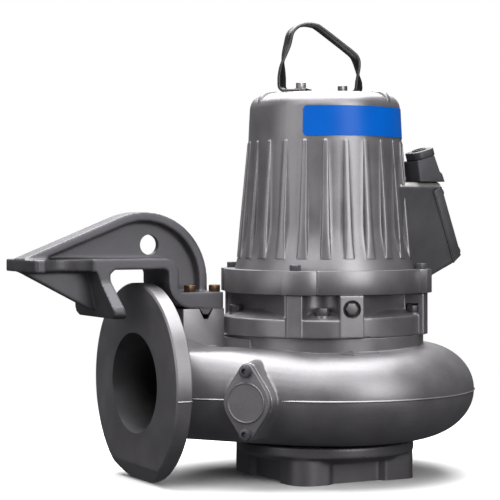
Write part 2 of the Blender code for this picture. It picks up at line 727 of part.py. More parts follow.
def make_box_lid(axis):
    """The cast lid on the sloping side of the cable box, and the gasket under it."""
    top, bottom = Vector(BOX_SEAT_TOP), Vector(BOX_SEAT_BOTTOM)
    down = (bottom - top).normalized()
    out = Vector((-down.y, down.x))
    sides = (-BOX_HALF_WIDTH, BOX_HALF_WIDTH)

    def layer(name, low, high, top_inset, bottom_inset):
        start, end = top + down * top_inset[0], bottom - down * bottom_inset[0]
        outline = [start + out * low, end + out * low]
        outline += [bottom - down * bottom_inset[1] + out * high, top + down * top_inset[1] + out * high]
        return prism(name, [tuple(point) for point in outline], sides[0], sides[1], axis, along="y")

    gasket_top = FIT_GAP + GASKET_THICKNESS
    gasket = layer("box_gasket", FIT_GAP, gasket_top, (0.002, 0.002), (0.001, 0.001))
    finish(gasket, "rubber")
    lid_bottom = gasket_top + FIT_GAP
    lid = layer("box_cover", lid_bottom, lid_bottom + LID_THICKNESS, (0.0015, 0.0025), (0.0, 0.006))
    finish(lid, "painted_iron")


def make_label(axis):
    """A thin printed band round the top of the motor, left plain."""
    steps = 24
    rings = []
    for i in range(steps + 1):
        angle = LABEL_ANGLES[0] + (LABEL_ANGLES[1] - LABEL_ANGLES[0]) * i / steps
        c, s = math.cos(angle), math.sin(angle)
        low, high = LABEL_R
        section = [(low, LABEL_BOTTOM), (low + LABEL_THICKNESS, LABEL_BOTTOM)]
        section += [(high + LABEL_THICKNESS, LABEL_TOP), (high, LABEL_TOP)]
        rings.append([(r * c, r * s, z) for r, z in section])
    finish(add_object("name_band", bridge_rings(rings), axis), "blue_film")


def bail_point(along, height):
    """A point of the bail's leaning loop, from its place along the loop's plane."""
    return Vector((along * math.cos(BAIL_PLANE), -along * math.sin(BAIL_PLANE), height))


def bail_inward(sign):
    """The way that a foot runs from its leg, with sign 1 on the left leg and -1 on the right."""
    return Vector((math.cos(BAIL_FOOT_TURN), -math.sin(BAIL_FOOT_TURN), 0)) * sign


def bail_bolts():
    """Bolt centres on the two feet of the bail."""
    return [
        bail_point(leg, 0) + bail_inward(sign) * reach
        for leg, sign, reach in zip(BAIL_LEGS, (1, -1), BAIL_BOLT_REACH)
    ]


def bail_foot(leg, sign):
    """Stations of one foot and its bend, from the inner end up into the leg."""
    height = BAIL_FOOT_Z + BAIL_THICKNESS / 2
    inward = bail_inward(sign)
    stations = [(bail_point(leg, height) + inward * BAIL_FOOT_REACH, BAIL_FOOT_TURN)]
    for step in range(5):
        turn = math.radians(90 * step / 4)
        offset = BAIL_BEND_R * (1 - math.sin(turn))
        rise = BAIL_BEND_R * (1 - math.cos(turn))
        stations.append((bail_point(leg, height + rise) + inward * offset, BAIL_FOOT_TURN))
    return stations


def make_bail(axis):
    """The lifting bail: one flat bar with feet turned inwards and legs twisted half way up."""
    left, right = BAIL_LEGS
    loop = [(left, 0.575, 50), (-0.0662, 0.588, 42), (-0.0646, 0.600, 28), (-0.0616, 0.612, 16)]
    loop += [(-0.0580, 0.624, 10), (-0.0545, 0.6385, 10), (-0.0500, 0.6455, 10), (-0.0440, 0.6500, 10)]
    loop += [(-0.0365, 0.6530, 10), (-0.0277, 0.6542, 10), (-0.0185, 0.6533, 10), (-0.0102, 0.6500, 10)]
    loop += [(0.0200, 0.6292, 10), (0.0400, 0.6150, 10), (0.0465, 0.6090, 10), (0.0498, 0.6020, 12)]
    loop += [(0.0515, 0.593, 20), (0.0523, 0.583, 32), (right, 0.573, 46)]
    stations = bail_foot(left, 1)
    stations += [(bail_point(along, height), math.radians(turn)) for along, height, turn in loop]
    stations += reversed(bail_foot(right, -1))
    rings = []
    for i, (point, turn) in enumerate(stations):
        before = stations[max(0, i - 1)][0]
        after = stations[min(len(stations) - 1, i + 1)][0]
        direction = (after - before).normalized()
        across = Vector((math.sin(turn), math.cos(turn), 0))
        across = (across - direction * across.dot(direction)).normalized() * (BAIL_WIDTH / 2)
        through = direction.cross(across).normalized() * (BAIL_THICKNESS / 2)
        rings.append([point - across - through, point + across - through])
        rings[-1] += [point + across + through, point - across + through]
    finish(add_object("lifting_bail", bridge_rings(rings), axis), "dark_strip")


def make_cable_entry(axis):
    """The cast entry on the box, the oval clamp on it and the rubber bush in the clamp."""
    lean = Vector((math.sin(ENTRY_TILT), 0, math.cos(ENTRY_TILT)))
    side = Vector((lean.z, 0, -lean.x))
    base = Vector((ENTRY_X, ENTRY_Y, BOX_TOP + FIT_GAP))

    def plate(name, levels):
        rings = []
        for height, half_x, half_y, corner, shift in levels:
            ring = []
            for quarter, (sx, sy) in enumerate(((1, 1), (-1, 1), (-1, -1), (1, -1))):
                middle = (shift + sx * (half_x - corner), sy * (half_y - corner))
                for a, b in arc(middle, corner, 90 * quarter, 90 * quarter + 90, 4):
                    ring.append(base + lean * height + side * a + Vector((0, b, 0)))
            rings.append(ring)
        return add_object(name, bridge_rings(rings), axis)

    def round_piece(name, low, high, radius):
        centre = base + side * CLAMP_SHIFT
        return rod(name, centre + lean * low, centre + lean * high, radius, axis, 24)

    levels = [(-0.012, 0.0195, 0.0200, 0.004, 0.0038), (0.0060, 0.0185, 0.0197, 0.0035, 0.0030)]
    levels += [(0.0105, 0.0170, 0.0193, 0.003, 0.0014), (ENTRY_HEIGHT, 0.0159, 0.0190, 0.003, 0.0)]
    neck = plate("cable_entry", levels)
    cut(neck, block("entry_seat_guide", (0.0, 0.3), (-0.2, 0.1), (0.35, BOX_TOP + FIT_GAP), axis))
    finish(neck, "painted_iron")
    clamp_low = ENTRY_HEIGHT + FIT_GAP
    clamp_high = clamp_low + CLAMP_THICKNESS
    clamp_size = (0.0175, 0.019, 0.011, CLAMP_SHIFT)
    clamp = plate("cable_clamp", [(clamp_low, *clamp_size), (clamp_high, *clamp_size)])
    cut(clamp, round_piece("cable_hole_guide", clamp_low - 0.005, clamp_high + 0.005, CABLE_HOLE_R))
    finish(clamp, "painted_iron")
    bush = round_piece("cable_bush", clamp_low, clamp_high + 0.002, CABLE_HOLE_R - FIT_GAP)
    cut(bush, round_piece("bush_bore_guide", clamp_low - 0.005, clamp_high + 0.008, BUSH_BORE_R))
    finish(bush, "rubber")


def claw_bridge(axis):
    """The bent plate of the claw: its shelf, the drop behind the flange and the bolted foot."""
    shelf_low, shelf_high = CLAW_SHELF_Z
    foot_low, foot_high = CLAW_FOOT_Z
    outline = [(-0.3570, shelf_high)]
    outline += arc((-0.2440, shelf_high - 0.020), 0.020, 90, 0, 5)
    outline += [(-0.2240, foot_high + 0.008)]
    outline += arc((-0.2160, foot_high + 0.008), 0.008, 180, 270, 4)
    outline += [(-0.1535, foot_high), (-0.1535, foot_low)]
    outline += arc((-0.2020, foot_low + 0.038), 0.038, 270, 180, 6)
    outline += [(-0.2400, shelf_low - 0.008)]
    outline += arc((-0.2480, shelf_low - 0.006), 0.008, 0, 90, 4)
    outline += [(-0.3225, shelf_low + 0.002), (-0.3290, shelf_low - 0.004)]
    outline += [(-0.3290, shelf_low - 0.014), (-0.3430, shelf_low - 0.020)]
    sides = (OUTLET_Y - CLAW_HALF_WIDTH, OUTLET_Y + CLAW_HALF_WIDTH)
    return prism("guide_claw", outline, sides[0], sides[1], axis, along="y")


def claw_fingers(axis):
    """The tongue that hooks over the pipe connection, spread at its lower corners."""
    stations = [(0.3015, -0.3480, 0.0168, 0.045), (0.2830, -0.3450, 0.0168, 0.045)]
    stations += [(0.2457, -0.3368, 0.0192, 0.070), (0.2370, -0.3345, 0.0192, 0.070)]
    stations += [(0.2320, -0.3330, 0.0192, 0.062)]
    rings = []
    for z, x, deep, half in stations:
        near, far = OUTLET_Y - half, OUTLET_Y + half
        rings.append([(x, near, z), (x + deep, near, z), (x + deep, far, z), (x, far, z)])
    return add_object("finger_guide", bridge_rings(rings), axis)


def claw_shelf(axis):
    """The pointed nose of the claw, with a round recess for a guide bar on each side."""
    horn = CLAW_HORN_HALF
    half = [(CLAW_NOSE_X, 0.0), (CLAW_NOSE_X + 0.003, -horn + 0.005), (CLAW_NOSE_X + 0.006, -horn)]
    half += [(CLAW_BAR_X - CLAW_BAR_R - 0.003, -horn)]
    half += arc((CLAW_BAR_X, -CLAW_HALF_WIDTH - 0.005), CLAW_BAR_R, 180, 0, 9)
    half += [(CLAW_BAR_X + CLAW_BAR_R, -CLAW_HALF_WIDTH), (-0.3400, -CLAW_HALF_WIDTH)]
    outline = [(x, OUTLET_Y + y) for x, y in half]
    outline += [(x, OUTLET_Y - y) for x, y in reversed(half[1:])]
    return prism("shelf_guide", outline, CLAW_SHELF_Z[0], CLAW_SHELF_Z[1], axis)


def claw_crest(name, radius, nose, foot_low, half, axis, inner=None):
    """A plate under the claw's crest, from the nose over the arc to the foot."""
    right = CLAW_ARC_CENTRE[0] + radius
    outline = [nose] + arc(CLAW_ARC_CENTRE, radius, CLAW_TANGENT, 0, 14) + [(right, foot_low)]
    outline += inner
    return prism(name, outline, OUTLET_Y - half, OUTLET_Y + half, axis, along="y")


def make_claw(axis):
    """The guide claw: a bridge over the flange, a rimmed web above it and a nose with two horns."""
    shelf_low, shelf_high = CLAW_SHELF_Z
    root = CLAW_FOOT_Z[1] - 0.004
    claw = claw_bridge(axis)
    inner_r = CLAW_ARC_R - CLAW_RIM_THICKNESS
    inner = [(CLAW_ARC_CENTRE[0] + inner_r, root)]
    inner += reversed(arc(CLAW_ARC_CENTRE, inner_r, CLAW_TANGENT, 0, 14))
    inner += [(CLAW_NOSE_X + 0.020, shelf_high - 0.004)]
    nose = (CLAW_NOSE_X + 0.003, shelf_high + 0.002)
    rim = claw_crest("rim_guide", CLAW_ARC_R, nose, root, CLAW_RIM_HALF, axis, inner)
    inner = [(-0.2320, root), (-0.2320, shelf_high - 0.010)]
    nose = (CLAW_NOSE_X + 0.020, shelf_high - 0.006)
    web = claw_crest("web_guide", CLAW_ARC_R - 0.006, nose, root, CLAW_WEB_HALF, axis, inner)
    outline = [(-0.4460, shelf_low + 0.003), (-0.4460, shelf_low - 0.001), (-0.3430, 0.2430)]
    outline += [(-0.3280, 0.2430), (-0.3360, shelf_low + 0.006)]
    sides = (OUTLET_Y - CLAW_GUSSET_HALF, OUTLET_Y + CLAW_GUSSET_HALF)
    gusset = prism("gusset_guide", outline, sides[0], sides[1], axis, along="y")
    key = key_prism("key_guide", CLAW_FOOT_Z[0] + 0.004, KEY_DEPTH, CLAW_HALF_WIDTH, axis)
    join(claw, claw_fingers(axis), claw_shelf(axis), rim, web, gusset, key)
    hole_x, hole_z = CLAW_HOLE
    cut(claw, rod("web_hole_guide", (hole_x, 0.0, hole_z), (hole_x, 0.14, hole_z), CLAW_HOLE_R, axis, 32))
    finish(claw, "painted_iron")


def main():
    empty_scene()
    axis = make_axis()
    make_suction_cover(axis)
    make_volute(axis)
    make_inspection_cover(axis)
    make_hydraulics(axis)
    make_oil_housing(axis)
    make_motor_housing(axis)
    make_box_lid(axis)
    make_label(axis)
    make_bail(axis)
    make_cable_entry(axis)
    make_claw(axis)


main()
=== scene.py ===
"""Looks of the submersible sewage pump: castings, fasteners, finishes, light and camera.

Metres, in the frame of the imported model. Shapes are drawn from the motor axis and
from a datum a little above the floor, which is how the castings are dimensioned.
"""

import math

import bpy
from mathutils import Matrix, Vector


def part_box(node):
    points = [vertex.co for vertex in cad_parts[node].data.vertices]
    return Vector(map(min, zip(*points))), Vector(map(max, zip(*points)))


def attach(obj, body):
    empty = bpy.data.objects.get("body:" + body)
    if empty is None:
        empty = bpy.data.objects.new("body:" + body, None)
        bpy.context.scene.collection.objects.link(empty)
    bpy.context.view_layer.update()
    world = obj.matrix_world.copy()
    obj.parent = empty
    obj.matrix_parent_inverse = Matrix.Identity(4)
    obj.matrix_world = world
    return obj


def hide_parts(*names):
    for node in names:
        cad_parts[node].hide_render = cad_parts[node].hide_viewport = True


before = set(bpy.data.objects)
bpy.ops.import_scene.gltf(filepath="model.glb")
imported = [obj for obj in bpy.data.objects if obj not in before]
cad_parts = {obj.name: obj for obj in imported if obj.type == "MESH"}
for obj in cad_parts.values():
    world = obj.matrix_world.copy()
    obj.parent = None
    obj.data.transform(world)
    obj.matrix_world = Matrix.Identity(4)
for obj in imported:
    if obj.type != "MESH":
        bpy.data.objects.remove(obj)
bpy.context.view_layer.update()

# Foot: the round cover under the volute, on a square skirt with four round lobes.
# It is one grey-iron casting with rounded corners, painted with the rest of the pump; its colour is drawn darker than
# the volute's, as painted shade.
DATUM_Z = 0.0025
FOOT_X = -0.003
FOOT_HALF = 0.0975
FOOT_CORNER_R = (0.032, 0.012)
FOOT_RECESS = 0.008
FOOT_RECESS_HALF = 0.038
FOOT_BOTTOM = -DATUM_Z
FOOT_TOP = 0.0518
PLATE = [(0.1280, 0.0355), (0.1292, 0.0367), (0.1292, 0.0500), (0.1280, 0.0512)]
PLATE_ROOT = [(0.112, 0.0290), (0.118, 0.0340), (0.118, 0.0380)]
SUCTION_BORE = [(0.086, -0.020), (0.084, FOOT_BOTTOM), (0.080, 0.005), (0.075, 0.020), (0.075, 0.060)]
shaft_low, shaft_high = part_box("motor_shaft")
AXIS = Vector(((shaft_low.x + shaft_high.x) / 2, (shaft_low.y + shaft_high.y) / 2, DATUM_Z))


def clear_selection():
    if bpy.context.object and bpy.context.object.mode != "OBJECT":
        bpy.ops.object.mode_set(mode="OBJECT")
    bpy.ops.object.select_all(action="DESELECT")


def pick(*pieces):
    """Select these pieces and nothing else, with the first one active."""
    clear_selection()
    for piece in pieces:
        piece.select_set(True)
    bpy.context.view_layer.objects.active = pieces[0]


def arc(centre, radius, start, end, steps):
    """Points on an arc, both ends included, angles in degrees."""
    points = []
    for i in range(steps + 1):
        angle = math.radians(start + (end - start) * i / steps)
        points.append((centre[0] + radius * math.cos(angle), centre[1] + radius * math.sin(angle)))
    return points


def circle(radius, corners, centre=(0.0, 0.0)):
    """The corners of a closed round outline."""
    return arc(centre, radius, 0, 360 - 360 / corners, corners - 1)


def turned_outline(outline, angle):
    """An outline turned about the motor axis."""
    c, s = math.cos(angle), math.sin(angle)
    return [(x * c - y * s, x * s + y * c) for x, y in outline]


def loft(name, rings):
    """A disc with as many corners as the rings, extruded from each ring to the next."""
    clear_selection()
    bpy.ops.mesh.primitive_circle_add(vertices=len(rings[0]), fill_type="NGON")
    piece = bpy.context.object
    piece.name = name
    for vertex, point in zip(piece.data.vertices, rings[0]):
        vertex.co = AXIS + Vector(point)
    for ring in rings[1:]:
        bpy.ops.object.mode_set(mode="EDIT")
        bpy.ops.mesh.extrude_region_move()
        bpy.ops.object.mode_set(mode="OBJECT")
        moved = [vertex for vertex in piece.data.vertices if vertex.select]
        for vertex, point in zip(moved, ring):
            vertex.co = AXIS + Vector(point)
    bpy.ops.object.mode_set(mode="EDIT")
    bpy.ops.mesh.select_all(action="SELECT")
    bpy.ops.mesh.normals_make_consistent(inside=False)
    bpy.ops.object.mode_set(mode="OBJECT")
    return piece


def prism(name, outline, low, high, across=False):
    """A level outline extruded upwards, or an upright one extruded across the pump."""
    if across:
        return loft(name, [[(x, y, z) for x, z in outline] for y in (low, high)])
    return loft(name, [[(x, y, z) for x, y in outline] for z in (low, high)])


def turned(name, profile, corners=96, centre=(0.0, 0.0)):
    """A solid turned from (radius, height) points, closed by flat ends."""
    return loft(name, [[(x, y, height) for x, y in circle(radius, corners, centre)] for radius, height in profile])


def apply(piece, kind, **settings):
    """Add one modifier and apply it."""
    pick(piece)
    modifier = piece.modifiers.new(kind.title(), kind)
    for key, value in settings.items():
        setattr(modifier, key, value)
    bpy.ops.object.modifier_apply(modifier=modifier.name)
    return piece


def combine(piece, operation, tools, solver):
    for tool in tools:
        apply(piece, "BOOLEAN", operation=operation, object=tool, solver=solver)
        bpy.data.objects.remove(tool)
    return piece


def cut(piece, *tools, solver="MANIFOLD"):
    return combine(piece, "DIFFERENCE", tools, solver)


def cast(name, solids, voxel, passes, keep=1.0):
    """Fuse overlapping solids into one casting, with the soft corners that a sand mould gives."""
    pick(*solids)
    bpy.ops.object.join()
    piece = solids[0]
    piece.name = name
    apply(piece, "REMESH", mode="VOXEL", voxel_size=voxel)
    apply(piece, "SMOOTH", factor=0.5, iterations=passes)
    if keep < 1.0:
        apply(piece, "DECIMATE", ratio=keep)
    return piece


def srgb(code):
    """A hex colour as linear red, green, blue and alpha."""
    channels = [int(code[i : i + 2], 16) / 255 for i in (1, 3, 5)]
    return [c / 12.92 if c <= 0.04045 else ((c + 0.055) / 1.055) ** 2.4 for c in channels] + [1.0]


def add_node(tree, kind, settings, inputs):
    """Add one node. Each input is given a value, or the output that feeds it."""
    node = tree.nodes.new(kind)
    for key, value in settings.items():
        setattr(node, key, value)
    for key, value in inputs.items():
        if isinstance(value, bpy.types.NodeSocket):
            tree.links.new(value, node.inputs[key])
        else:
            node.inputs[key].default_value = value
    return node


def start_material(name):
    """A new material with its nodes, its shader and the place on the piece that patterns read."""
    material = bpy.data.materials.new(name)
    material.use_nodes = True
    tree = material.node_tree
    place = add_node(tree, "ShaderNodeTexCoord", {}, {}).outputs["Object"]
    return material, tree, tree.nodes["Principled BSDF"], place


def per_metre(millimetres):
    """A noise scale whose grains are this many millimetres across."""
    return 1000 / millimetres


def paint_on_iron(name, dark, light, metallic, roughness, grain_depth):
    """Two-part epoxy paint on sand-cast iron: satin, faintly mottled, over the grain of the mould."""
    material, tree, shader, place = start_material(name)
    cloud = add_node(tree, "ShaderNodeTexNoise", {}, {"Vector": place, "Scale": per_metre(45), "Detail": 4.0})
    speck = add_node(tree, "ShaderNodeTexNoise", {}, {"Vector": place, "Scale": per_metre(2.2), "Detail": 3.0})
    mottle = {0: speck.outputs["Fac"], 1: 0.45, 2: cloud.outputs["Fac"]}
    blend = add_node(tree, "ShaderNodeMath", {"operation": "MULTIPLY_ADD"}, mottle)
    spread = {"Value": blend.outputs[0], "From Min": 0.45, "From Max": 1.0}
    share = add_node(tree, "ShaderNodeMapRange", {}, spread)
    shades = {0: share.outputs[0], 6: srgb(dark), 7: srgb(light)}
    colour = add_node(tree, "ShaderNodeMix", {"data_type": "RGBA"}, shades)
    tree.links.new(colour.outputs[2], shader.inputs["Base Color"])
    shader.inputs["Metallic"].default_value = metallic
    sheen = {"Value": cloud.outputs["Fac"], "From Min": 0.3, "From Max": 0.7}
    sheen.update({"To Min": roughness - 0.04, "To Max": roughness + 0.05})
    gloss = add_node(tree, "ShaderNodeMapRange", {}, sheen)
    tree.links.new(gloss.outputs[0], shader.inputs["Roughness"])
    wave = add_node(tree, "ShaderNodeTexNoise", {}, {"Vector": place, "Scale": per_metre(16), "Detail": 2.0})
    swell = {"Height": wave.outputs["Fac"], "Strength": 0.35, "Distance": grain_depth * 2}
    low = add_node(tree, "ShaderNodeBump", {}, swell)
    grain = {"Height": speck.outputs["Fac"], "Strength": 0.5, "Distance": grain_depth, "Normal": low.outputs[0]}
    high = add_node(tree, "ShaderNodeBump", {}, grain)
    tree.links.new(high.outputs[0], shader.inputs["Normal"])
    return material


def finish(piece, material, nodes=(), angle=34):
    """Shade a piece, give it its finish and hang it on the pump."""
    pick(piece)
    bpy.ops.object.shade_smooth_by_angle(angle=math.radians(angle))
    piece.data.materials.clear()
    piece.data.materials.append(material)
    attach(piece, "root")
    if nodes:
        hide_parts(*nodes)


skirt = []
for quarter in range(4):
    corner_r = FOOT_CORNER_R[quarter % 2]
    slope_end = FOOT_RECESS_HALF + FOOT_RECESS
    side = [(FOOT_HALF, -slope_end), (FOOT_HALF - FOOT_RECESS, -FOOT_RECESS_HALF)]
    side += [(FOOT_HALF - FOOT_RECESS, FOOT_RECESS_HALF), (FOOT_HALF, slope_end)]
    side += arc((FOOT_HALF - corner_r, FOOT_HALF - corner_r), corner_r, 0, 90, 8)
    skirt += turned_outline(side, math.radians(90 * quarter))
skirt = [(x + FOOT_X, y) for x, y in skirt]
foot_solids = [
    prism("skirt", skirt, FOOT_BOTTOM - 0.004, FOOT_TOP - 0.002),
    turned("plate", PLATE, 128),
    turned("plate_root", PLATE_ROOT, 128),
]
foot = cast("suction_cover_casting", foot_solids, voxel=0.0018, passes=4, keep=0.6)
cut(
    foot,
    turned("floor_plane", [(0.20, -0.03), (0.20, FOOT_BOTTOM)], 8),
    turned("suction_bore", SUCTION_BORE),
)
# Darker than the volute's paint: painted shade for the shade under the volute.
FOOT_PAINT = paint_on_iron("epoxy_on_foot", "#6b696c", "#7a787b", 0.66, 0.46, 0.00012)
finish(foot, FOOT_PAINT, ["suction_cover"])

# Volute casing: the snail shell with its neck, its outlet flange and the pad for the claw.
# One large grey-iron casting; the flange face, the pad and the collar are machined after casting.
PARTING_Z = 0.122
SHELL_HEIGHTS = (0.0525, 0.189)
SHELL_ROUNDING = (0.40, 0.36)
SHELL_WALL = 0.013
HOLLOW_HEIGHTS = (0.0645, 0.176)
HOLLOW_ROUNDING = (0.34, 0.32)
COLLAR_R = 0.1435
COLLAR_TOP = 0.2050
COLLAR_EDGE = 0.0008
COLLAR_BORE_R = 0.118
EYE_R = 0.113
STEP_OUTLINE = [(-0.1535, 0.114), (-0.1535, 0.0255), (-0.1425, -0.033), (-0.080, -0.033), (-0.080, 0.114)]
STEP_TOP = 0.2010
STEP_BORE_R = 0.130
OUTLET_Y = 0.070
OUTLET_Z = 0.137
FLANGE_X = -0.274
FLANGE_R = 0.1425
FLANGE_FACE_R = 0.1400
FLANGE_EDGE = 0.0022
FLANGE_THICKNESS = 0.024
NECK_STRAIGHT = 0.030
NECK_TAPER = 0.12
NECK_HALF = (0.092, 0.0785)
NECK_SPREAD = 0.038
NECK_NARROWING = 0.014
NECK_SHIFT = (0.025, 0.018)
NECK_WALL = (0.0145, 0.0070)
NECK_END = -0.040
DISCHARGE_TOP = 0.186
PAD_X = (-0.218, -0.1525)
PAD_HALF = 0.045
PAD_TOP = 0.2425
KEY_X = -0.182
KEY_TIP = 0.0035
INSPECTION_FACING = math.radians(-143)
INSPECTION_TURN = math.radians(-151)
INSPECTION_R = 0.2050
INSPECTION_Z = 0.1203
INSPECTION_REACH = 0.0430
INSPECTION_RADII = (0.0345, 0.0105)


def radial(angle, radius, height):
    """A point at an angle and a radius from the motor axis."""
    return Vector((radius * math.cos(angle), radius * math.sin(angle), height))


SEAT_NORMAL = radial(INSPECTION_FACING, 1.0, 0.0)
SEAT_SIDE = Vector((-SEAT_NORMAL.y, SEAT_NORMAL.x, 0))
SEAT = radial(INSPECTION_TURN, INSPECTION_R, INSPECTION_Z)


def block(name, x, y, z):
    return prism(name, [(x[0], y[0]), (x[1], y[0]), (x[1], y[1]), (x[0], y[1])], z[0], z[1])


def rod(name, start, end, radius, corners=48, end_radius=None):
    """A round bar between two points."""
    start, end = Vector(start), Vector(end)
    direction = (end - start).normalized()
    side = direction.orthogonal().normalized()
    up = direction.cross(side)
    rings = []
    for centre, r in ((start, radius), (end, radius if end_radius is None else end_radius)):
        rings.append([centre + side * a + up * b for a, b in circle(r, corners)])
    return loft(name, rings)


def hull(name, points):
    """The tight skin round a cloud of points."""
    clear_selection()
    bpy.ops.mesh.primitive_circle_add(vertices=len(points), fill_type="NOTHING")
    piece = bpy.context.object
    piece.name = name
    for vertex, point in zip(piece.data.vertices, points):
        vertex.co = AXIS + Vector(point)
    bpy.ops.object.mode_set(mode="EDIT")
    bpy.ops.mesh.select_all(action="SELECT")
    bpy.ops.mesh.convex_hull()
    bpy.ops.mesh.normals_make_consistent(inside=False)
    bpy.ops.object.mode_set(mode="OBJECT")
    return piece


def join(piece, *tools, solver="MANIFOLD"):
    return combine(piece, "UNION", tools, solver)


def soften(piece, width, segments=3, angle=30):
    """Round the sharp edges of a machined or pressed piece."""
    limit = math.radians(angle)
    return apply(piece, "BEVEL", width=width, segments=segments, limit_method="ANGLE", angle_limit=limit)


def shell_radius(angle):
    """Outer radius of the snail shell, which swells towards the back."""
    return 0.213 + 0.027 * math.cos(angle - math.radians(50))


def shell_rings(inset, heights, rounding, steps, corners):
    """Level sections of the shell, drawn in towards its top and its bottom."""
    rings = []
    for k in range(2 * steps + 1):
        turn = math.pi * (k / (2 * steps) - 0.5)
        share = rounding[0] if turn < 0 else rounding[1]
        height = PARTING_Z + ((PARTING_Z - heights[0]) if turn < 0 else (heights[1] - PARTING_Z)) * math.sin(turn)
        ring = []
        for i in range(corners):
            angle = 2 * math.pi * i / corners
            r = (shell_radius(angle) - inset) * (1 - share * (1 - math.cos(turn)))
            ring.append(radial(angle, r, height))
        rings.append(ring)
    return rings


def neck_rings(inset, start, end, steps):
    """Oval sections of the neck, wide near the shell and round at the flange."""
    rings = []
    corners = 72
    for i in range(steps + 1):
        x = start + (end - start) * i / steps
        spread = max(0.0, min(1.0, (x - FLANGE_X - NECK_STRAIGHT) / NECK_TAPER))
        spread = spread * spread * (3 - 2 * spread)
        wide = NECK_HALF[0] + spread * NECK_SPREAD - inset[0]
        tall = NECK_HALF[1] - spread * NECK_NARROWING - inset[1]
        ring = []
        for k in range(corners):
            angle = 2 * math.pi * k / corners
            y = OUTLET_Y + spread * NECK_SHIFT[0] + wide * math.cos(angle)
            z = OUTLET_Z - spread * NECK_SHIFT[1] + tall * math.sin(angle)
            ring.append((x, y, z))
        rings.append(ring)
    return rings


def on_seat(outline, height):
    """An outline laid on the seat of the inspection cover, at a height above it."""
    return [SEAT + SEAT_NORMAL * height + SEAT_SIDE * a + Vector((0, 0, b)) for a, b in outline]


def rhombus(name, layers):
    """The long plate with round ends; each layer is its height and how much it is widened."""
    rings = []
    for height, grow in layers:
        big, small = [radius + grow for radius in INSPECTION_RADII]
        lean = math.degrees(math.acos((big - small) / INSPECTION_REACH))
        points = arc((0, 0), big, lean - 90, 90 - lean, 16)
        points += arc((0, INSPECTION_REACH), small, 90 - lean, 90 + lean, 12)
        points += arc((0, 0), big, 90 + lean, 270 - lean, 16)
        points += arc((0, -INSPECTION_REACH), small, 270 - lean, 270 + lean, 12)
        rings.append(on_seat(points, height))
    return loft(name, rings)


def about_outlet(name, outline, half):
    """An upright outline, extruded to both sides of the outlet's middle."""
    return prism(name, outline, OUTLET_Y - half, OUTLET_Y + half, across=True)


def flange_rod(name, start, end, radius, end_radius=None):
    """A round bar on the outlet's axis, measured from the flange face."""
    ends = [(FLANGE_X + x, OUTLET_Y, OUTLET_Z) for x in (start, end)]
    return rod(name, *ends, radius, 96, end_radius)


def key_outline(half, top, shoulder, bottom):
    """A wedge across the claw pad, from its top down to its narrow tip."""
    side = [(half, top), (half, shoulder), (KEY_TIP, bottom)]
    return [(KEY_X - a, z) for a, z in side] + [(KEY_X + a, z) for a, z in reversed(side)]


neck_start = neck_rings((0.002, 0.002), FLANGE_X + 0.014, NECK_END, 18)[0]
neck_start = [(x, y, min(z, DISCHARGE_TOP)) for x, y, z in neck_start]
near_side = [ring[i] for ring in shell_rings(0.0, SHELL_HEIGHTS, SHELL_ROUNDING, 12, 144) for i in range(80, 97)]
pad_core = [(PAD_X[0] + 0.001, PAD_X[1] - 0.001), (OUTLET_Y - 0.044, OUTLET_Y + 0.044), (0.165, PAD_TOP - 0.003)]
volute_solids = [
    loft("shell", shell_rings(0.0, SHELL_HEIGHTS, SHELL_ROUNDING, 14, 144)),
    turned("collar_core", [(COLLAR_R - 0.0015, 0.170), (COLLAR_R - 0.0015, COLLAR_TOP - 0.002)], 144),
    loft("neck", neck_rings((0.0, 0.0), FLANGE_X + 0.010, NECK_END, 18)),
    flange_rod("flange_core", 0.003, 0.021, 0.1395),
    flange_rod("flange_root", 0.018, 0.030, 0.090, 0.078),
    block("pad_core", *pad_core),
    hull("discharge", neck_start + near_side),
    rhombus("boss", [(-0.050, 0.004), (-0.006, 0.0012), (0.000, 0.0006)]),
]
volute = cast("volute_casting", volute_solids, voxel=0.0023, passes=6, keep=0.62)
flange_rings = []
flange_profile = [(0.0, FLANGE_FACE_R), (FLANGE_EDGE, FLANGE_R)]
flange_profile += [(FLANGE_THICKNESS - FLANGE_EDGE, FLANGE_R), (FLANGE_THICKNESS, FLANGE_FACE_R)]
for x, radius in flange_profile:
    flange_rings.append([(FLANGE_X + x, y, z) for y, z in circle(radius, 144, (OUTLET_Y, OUTLET_Z))])
join(volute, loft("flange", flange_rings))

groove = key_outline(0.0115, PAD_TOP + 0.010, PAD_TOP + 0.0008, PAD_TOP - 0.015)
pad = block("claw_pad", PAD_X, (OUTLET_Y - PAD_HALF, OUTLET_Y + PAD_HALF), (0.180, PAD_TOP))
soften(pad, 0.0010)
cut(pad, about_outlet("pad_groove", groove, 0.06), solver="EXACT")
collar_profile = [(COLLAR_R, 0.1785), (COLLAR_R, COLLAR_TOP - COLLAR_EDGE), (COLLAR_R - COLLAR_EDGE, COLLAR_TOP)]
collar = turned("collar", collar_profile, 144)
cut(collar, turned("collar_bore", [(COLLAR_BORE_R, 0.150), (COLLAR_BORE_R, 0.230)]))
step = prism("step", STEP_OUTLINE, 0.165, STEP_TOP)
cut(step, turned("step_bore", [(STEP_BORE_R, 0.150), (STEP_BORE_R, 0.230)]))
chin = [(FLANGE_X - 0.020, 0.0207), (FLANGE_X, 0.0207), (FLANGE_X + 0.0155, -0.012), (FLANGE_X - 0.020, -0.012)]
cut(
    volute,
    about_outlet("groove", groove, 0.06),
    loft("passage", neck_rings(NECK_WALL, FLANGE_X - 0.010, -0.060, 16)),
    loft("hollow", shell_rings(SHELL_WALL, HOLLOW_HEIGHTS, HOLLOW_ROUNDING, 8, 96)),
    turned("collar_bore", [(COLLAR_BORE_R, 0.150), (COLLAR_BORE_R, 0.230)]),
    turned("eye_bore", [(EYE_R, 0.030), (EYE_R, 0.080)]),
    about_outlet("chin", chin, 0.20),
    block("floor_side", (-0.30, -0.20), (-0.2, 0.3), (-0.05, FOOT_BOTTOM + 0.0005)),
)
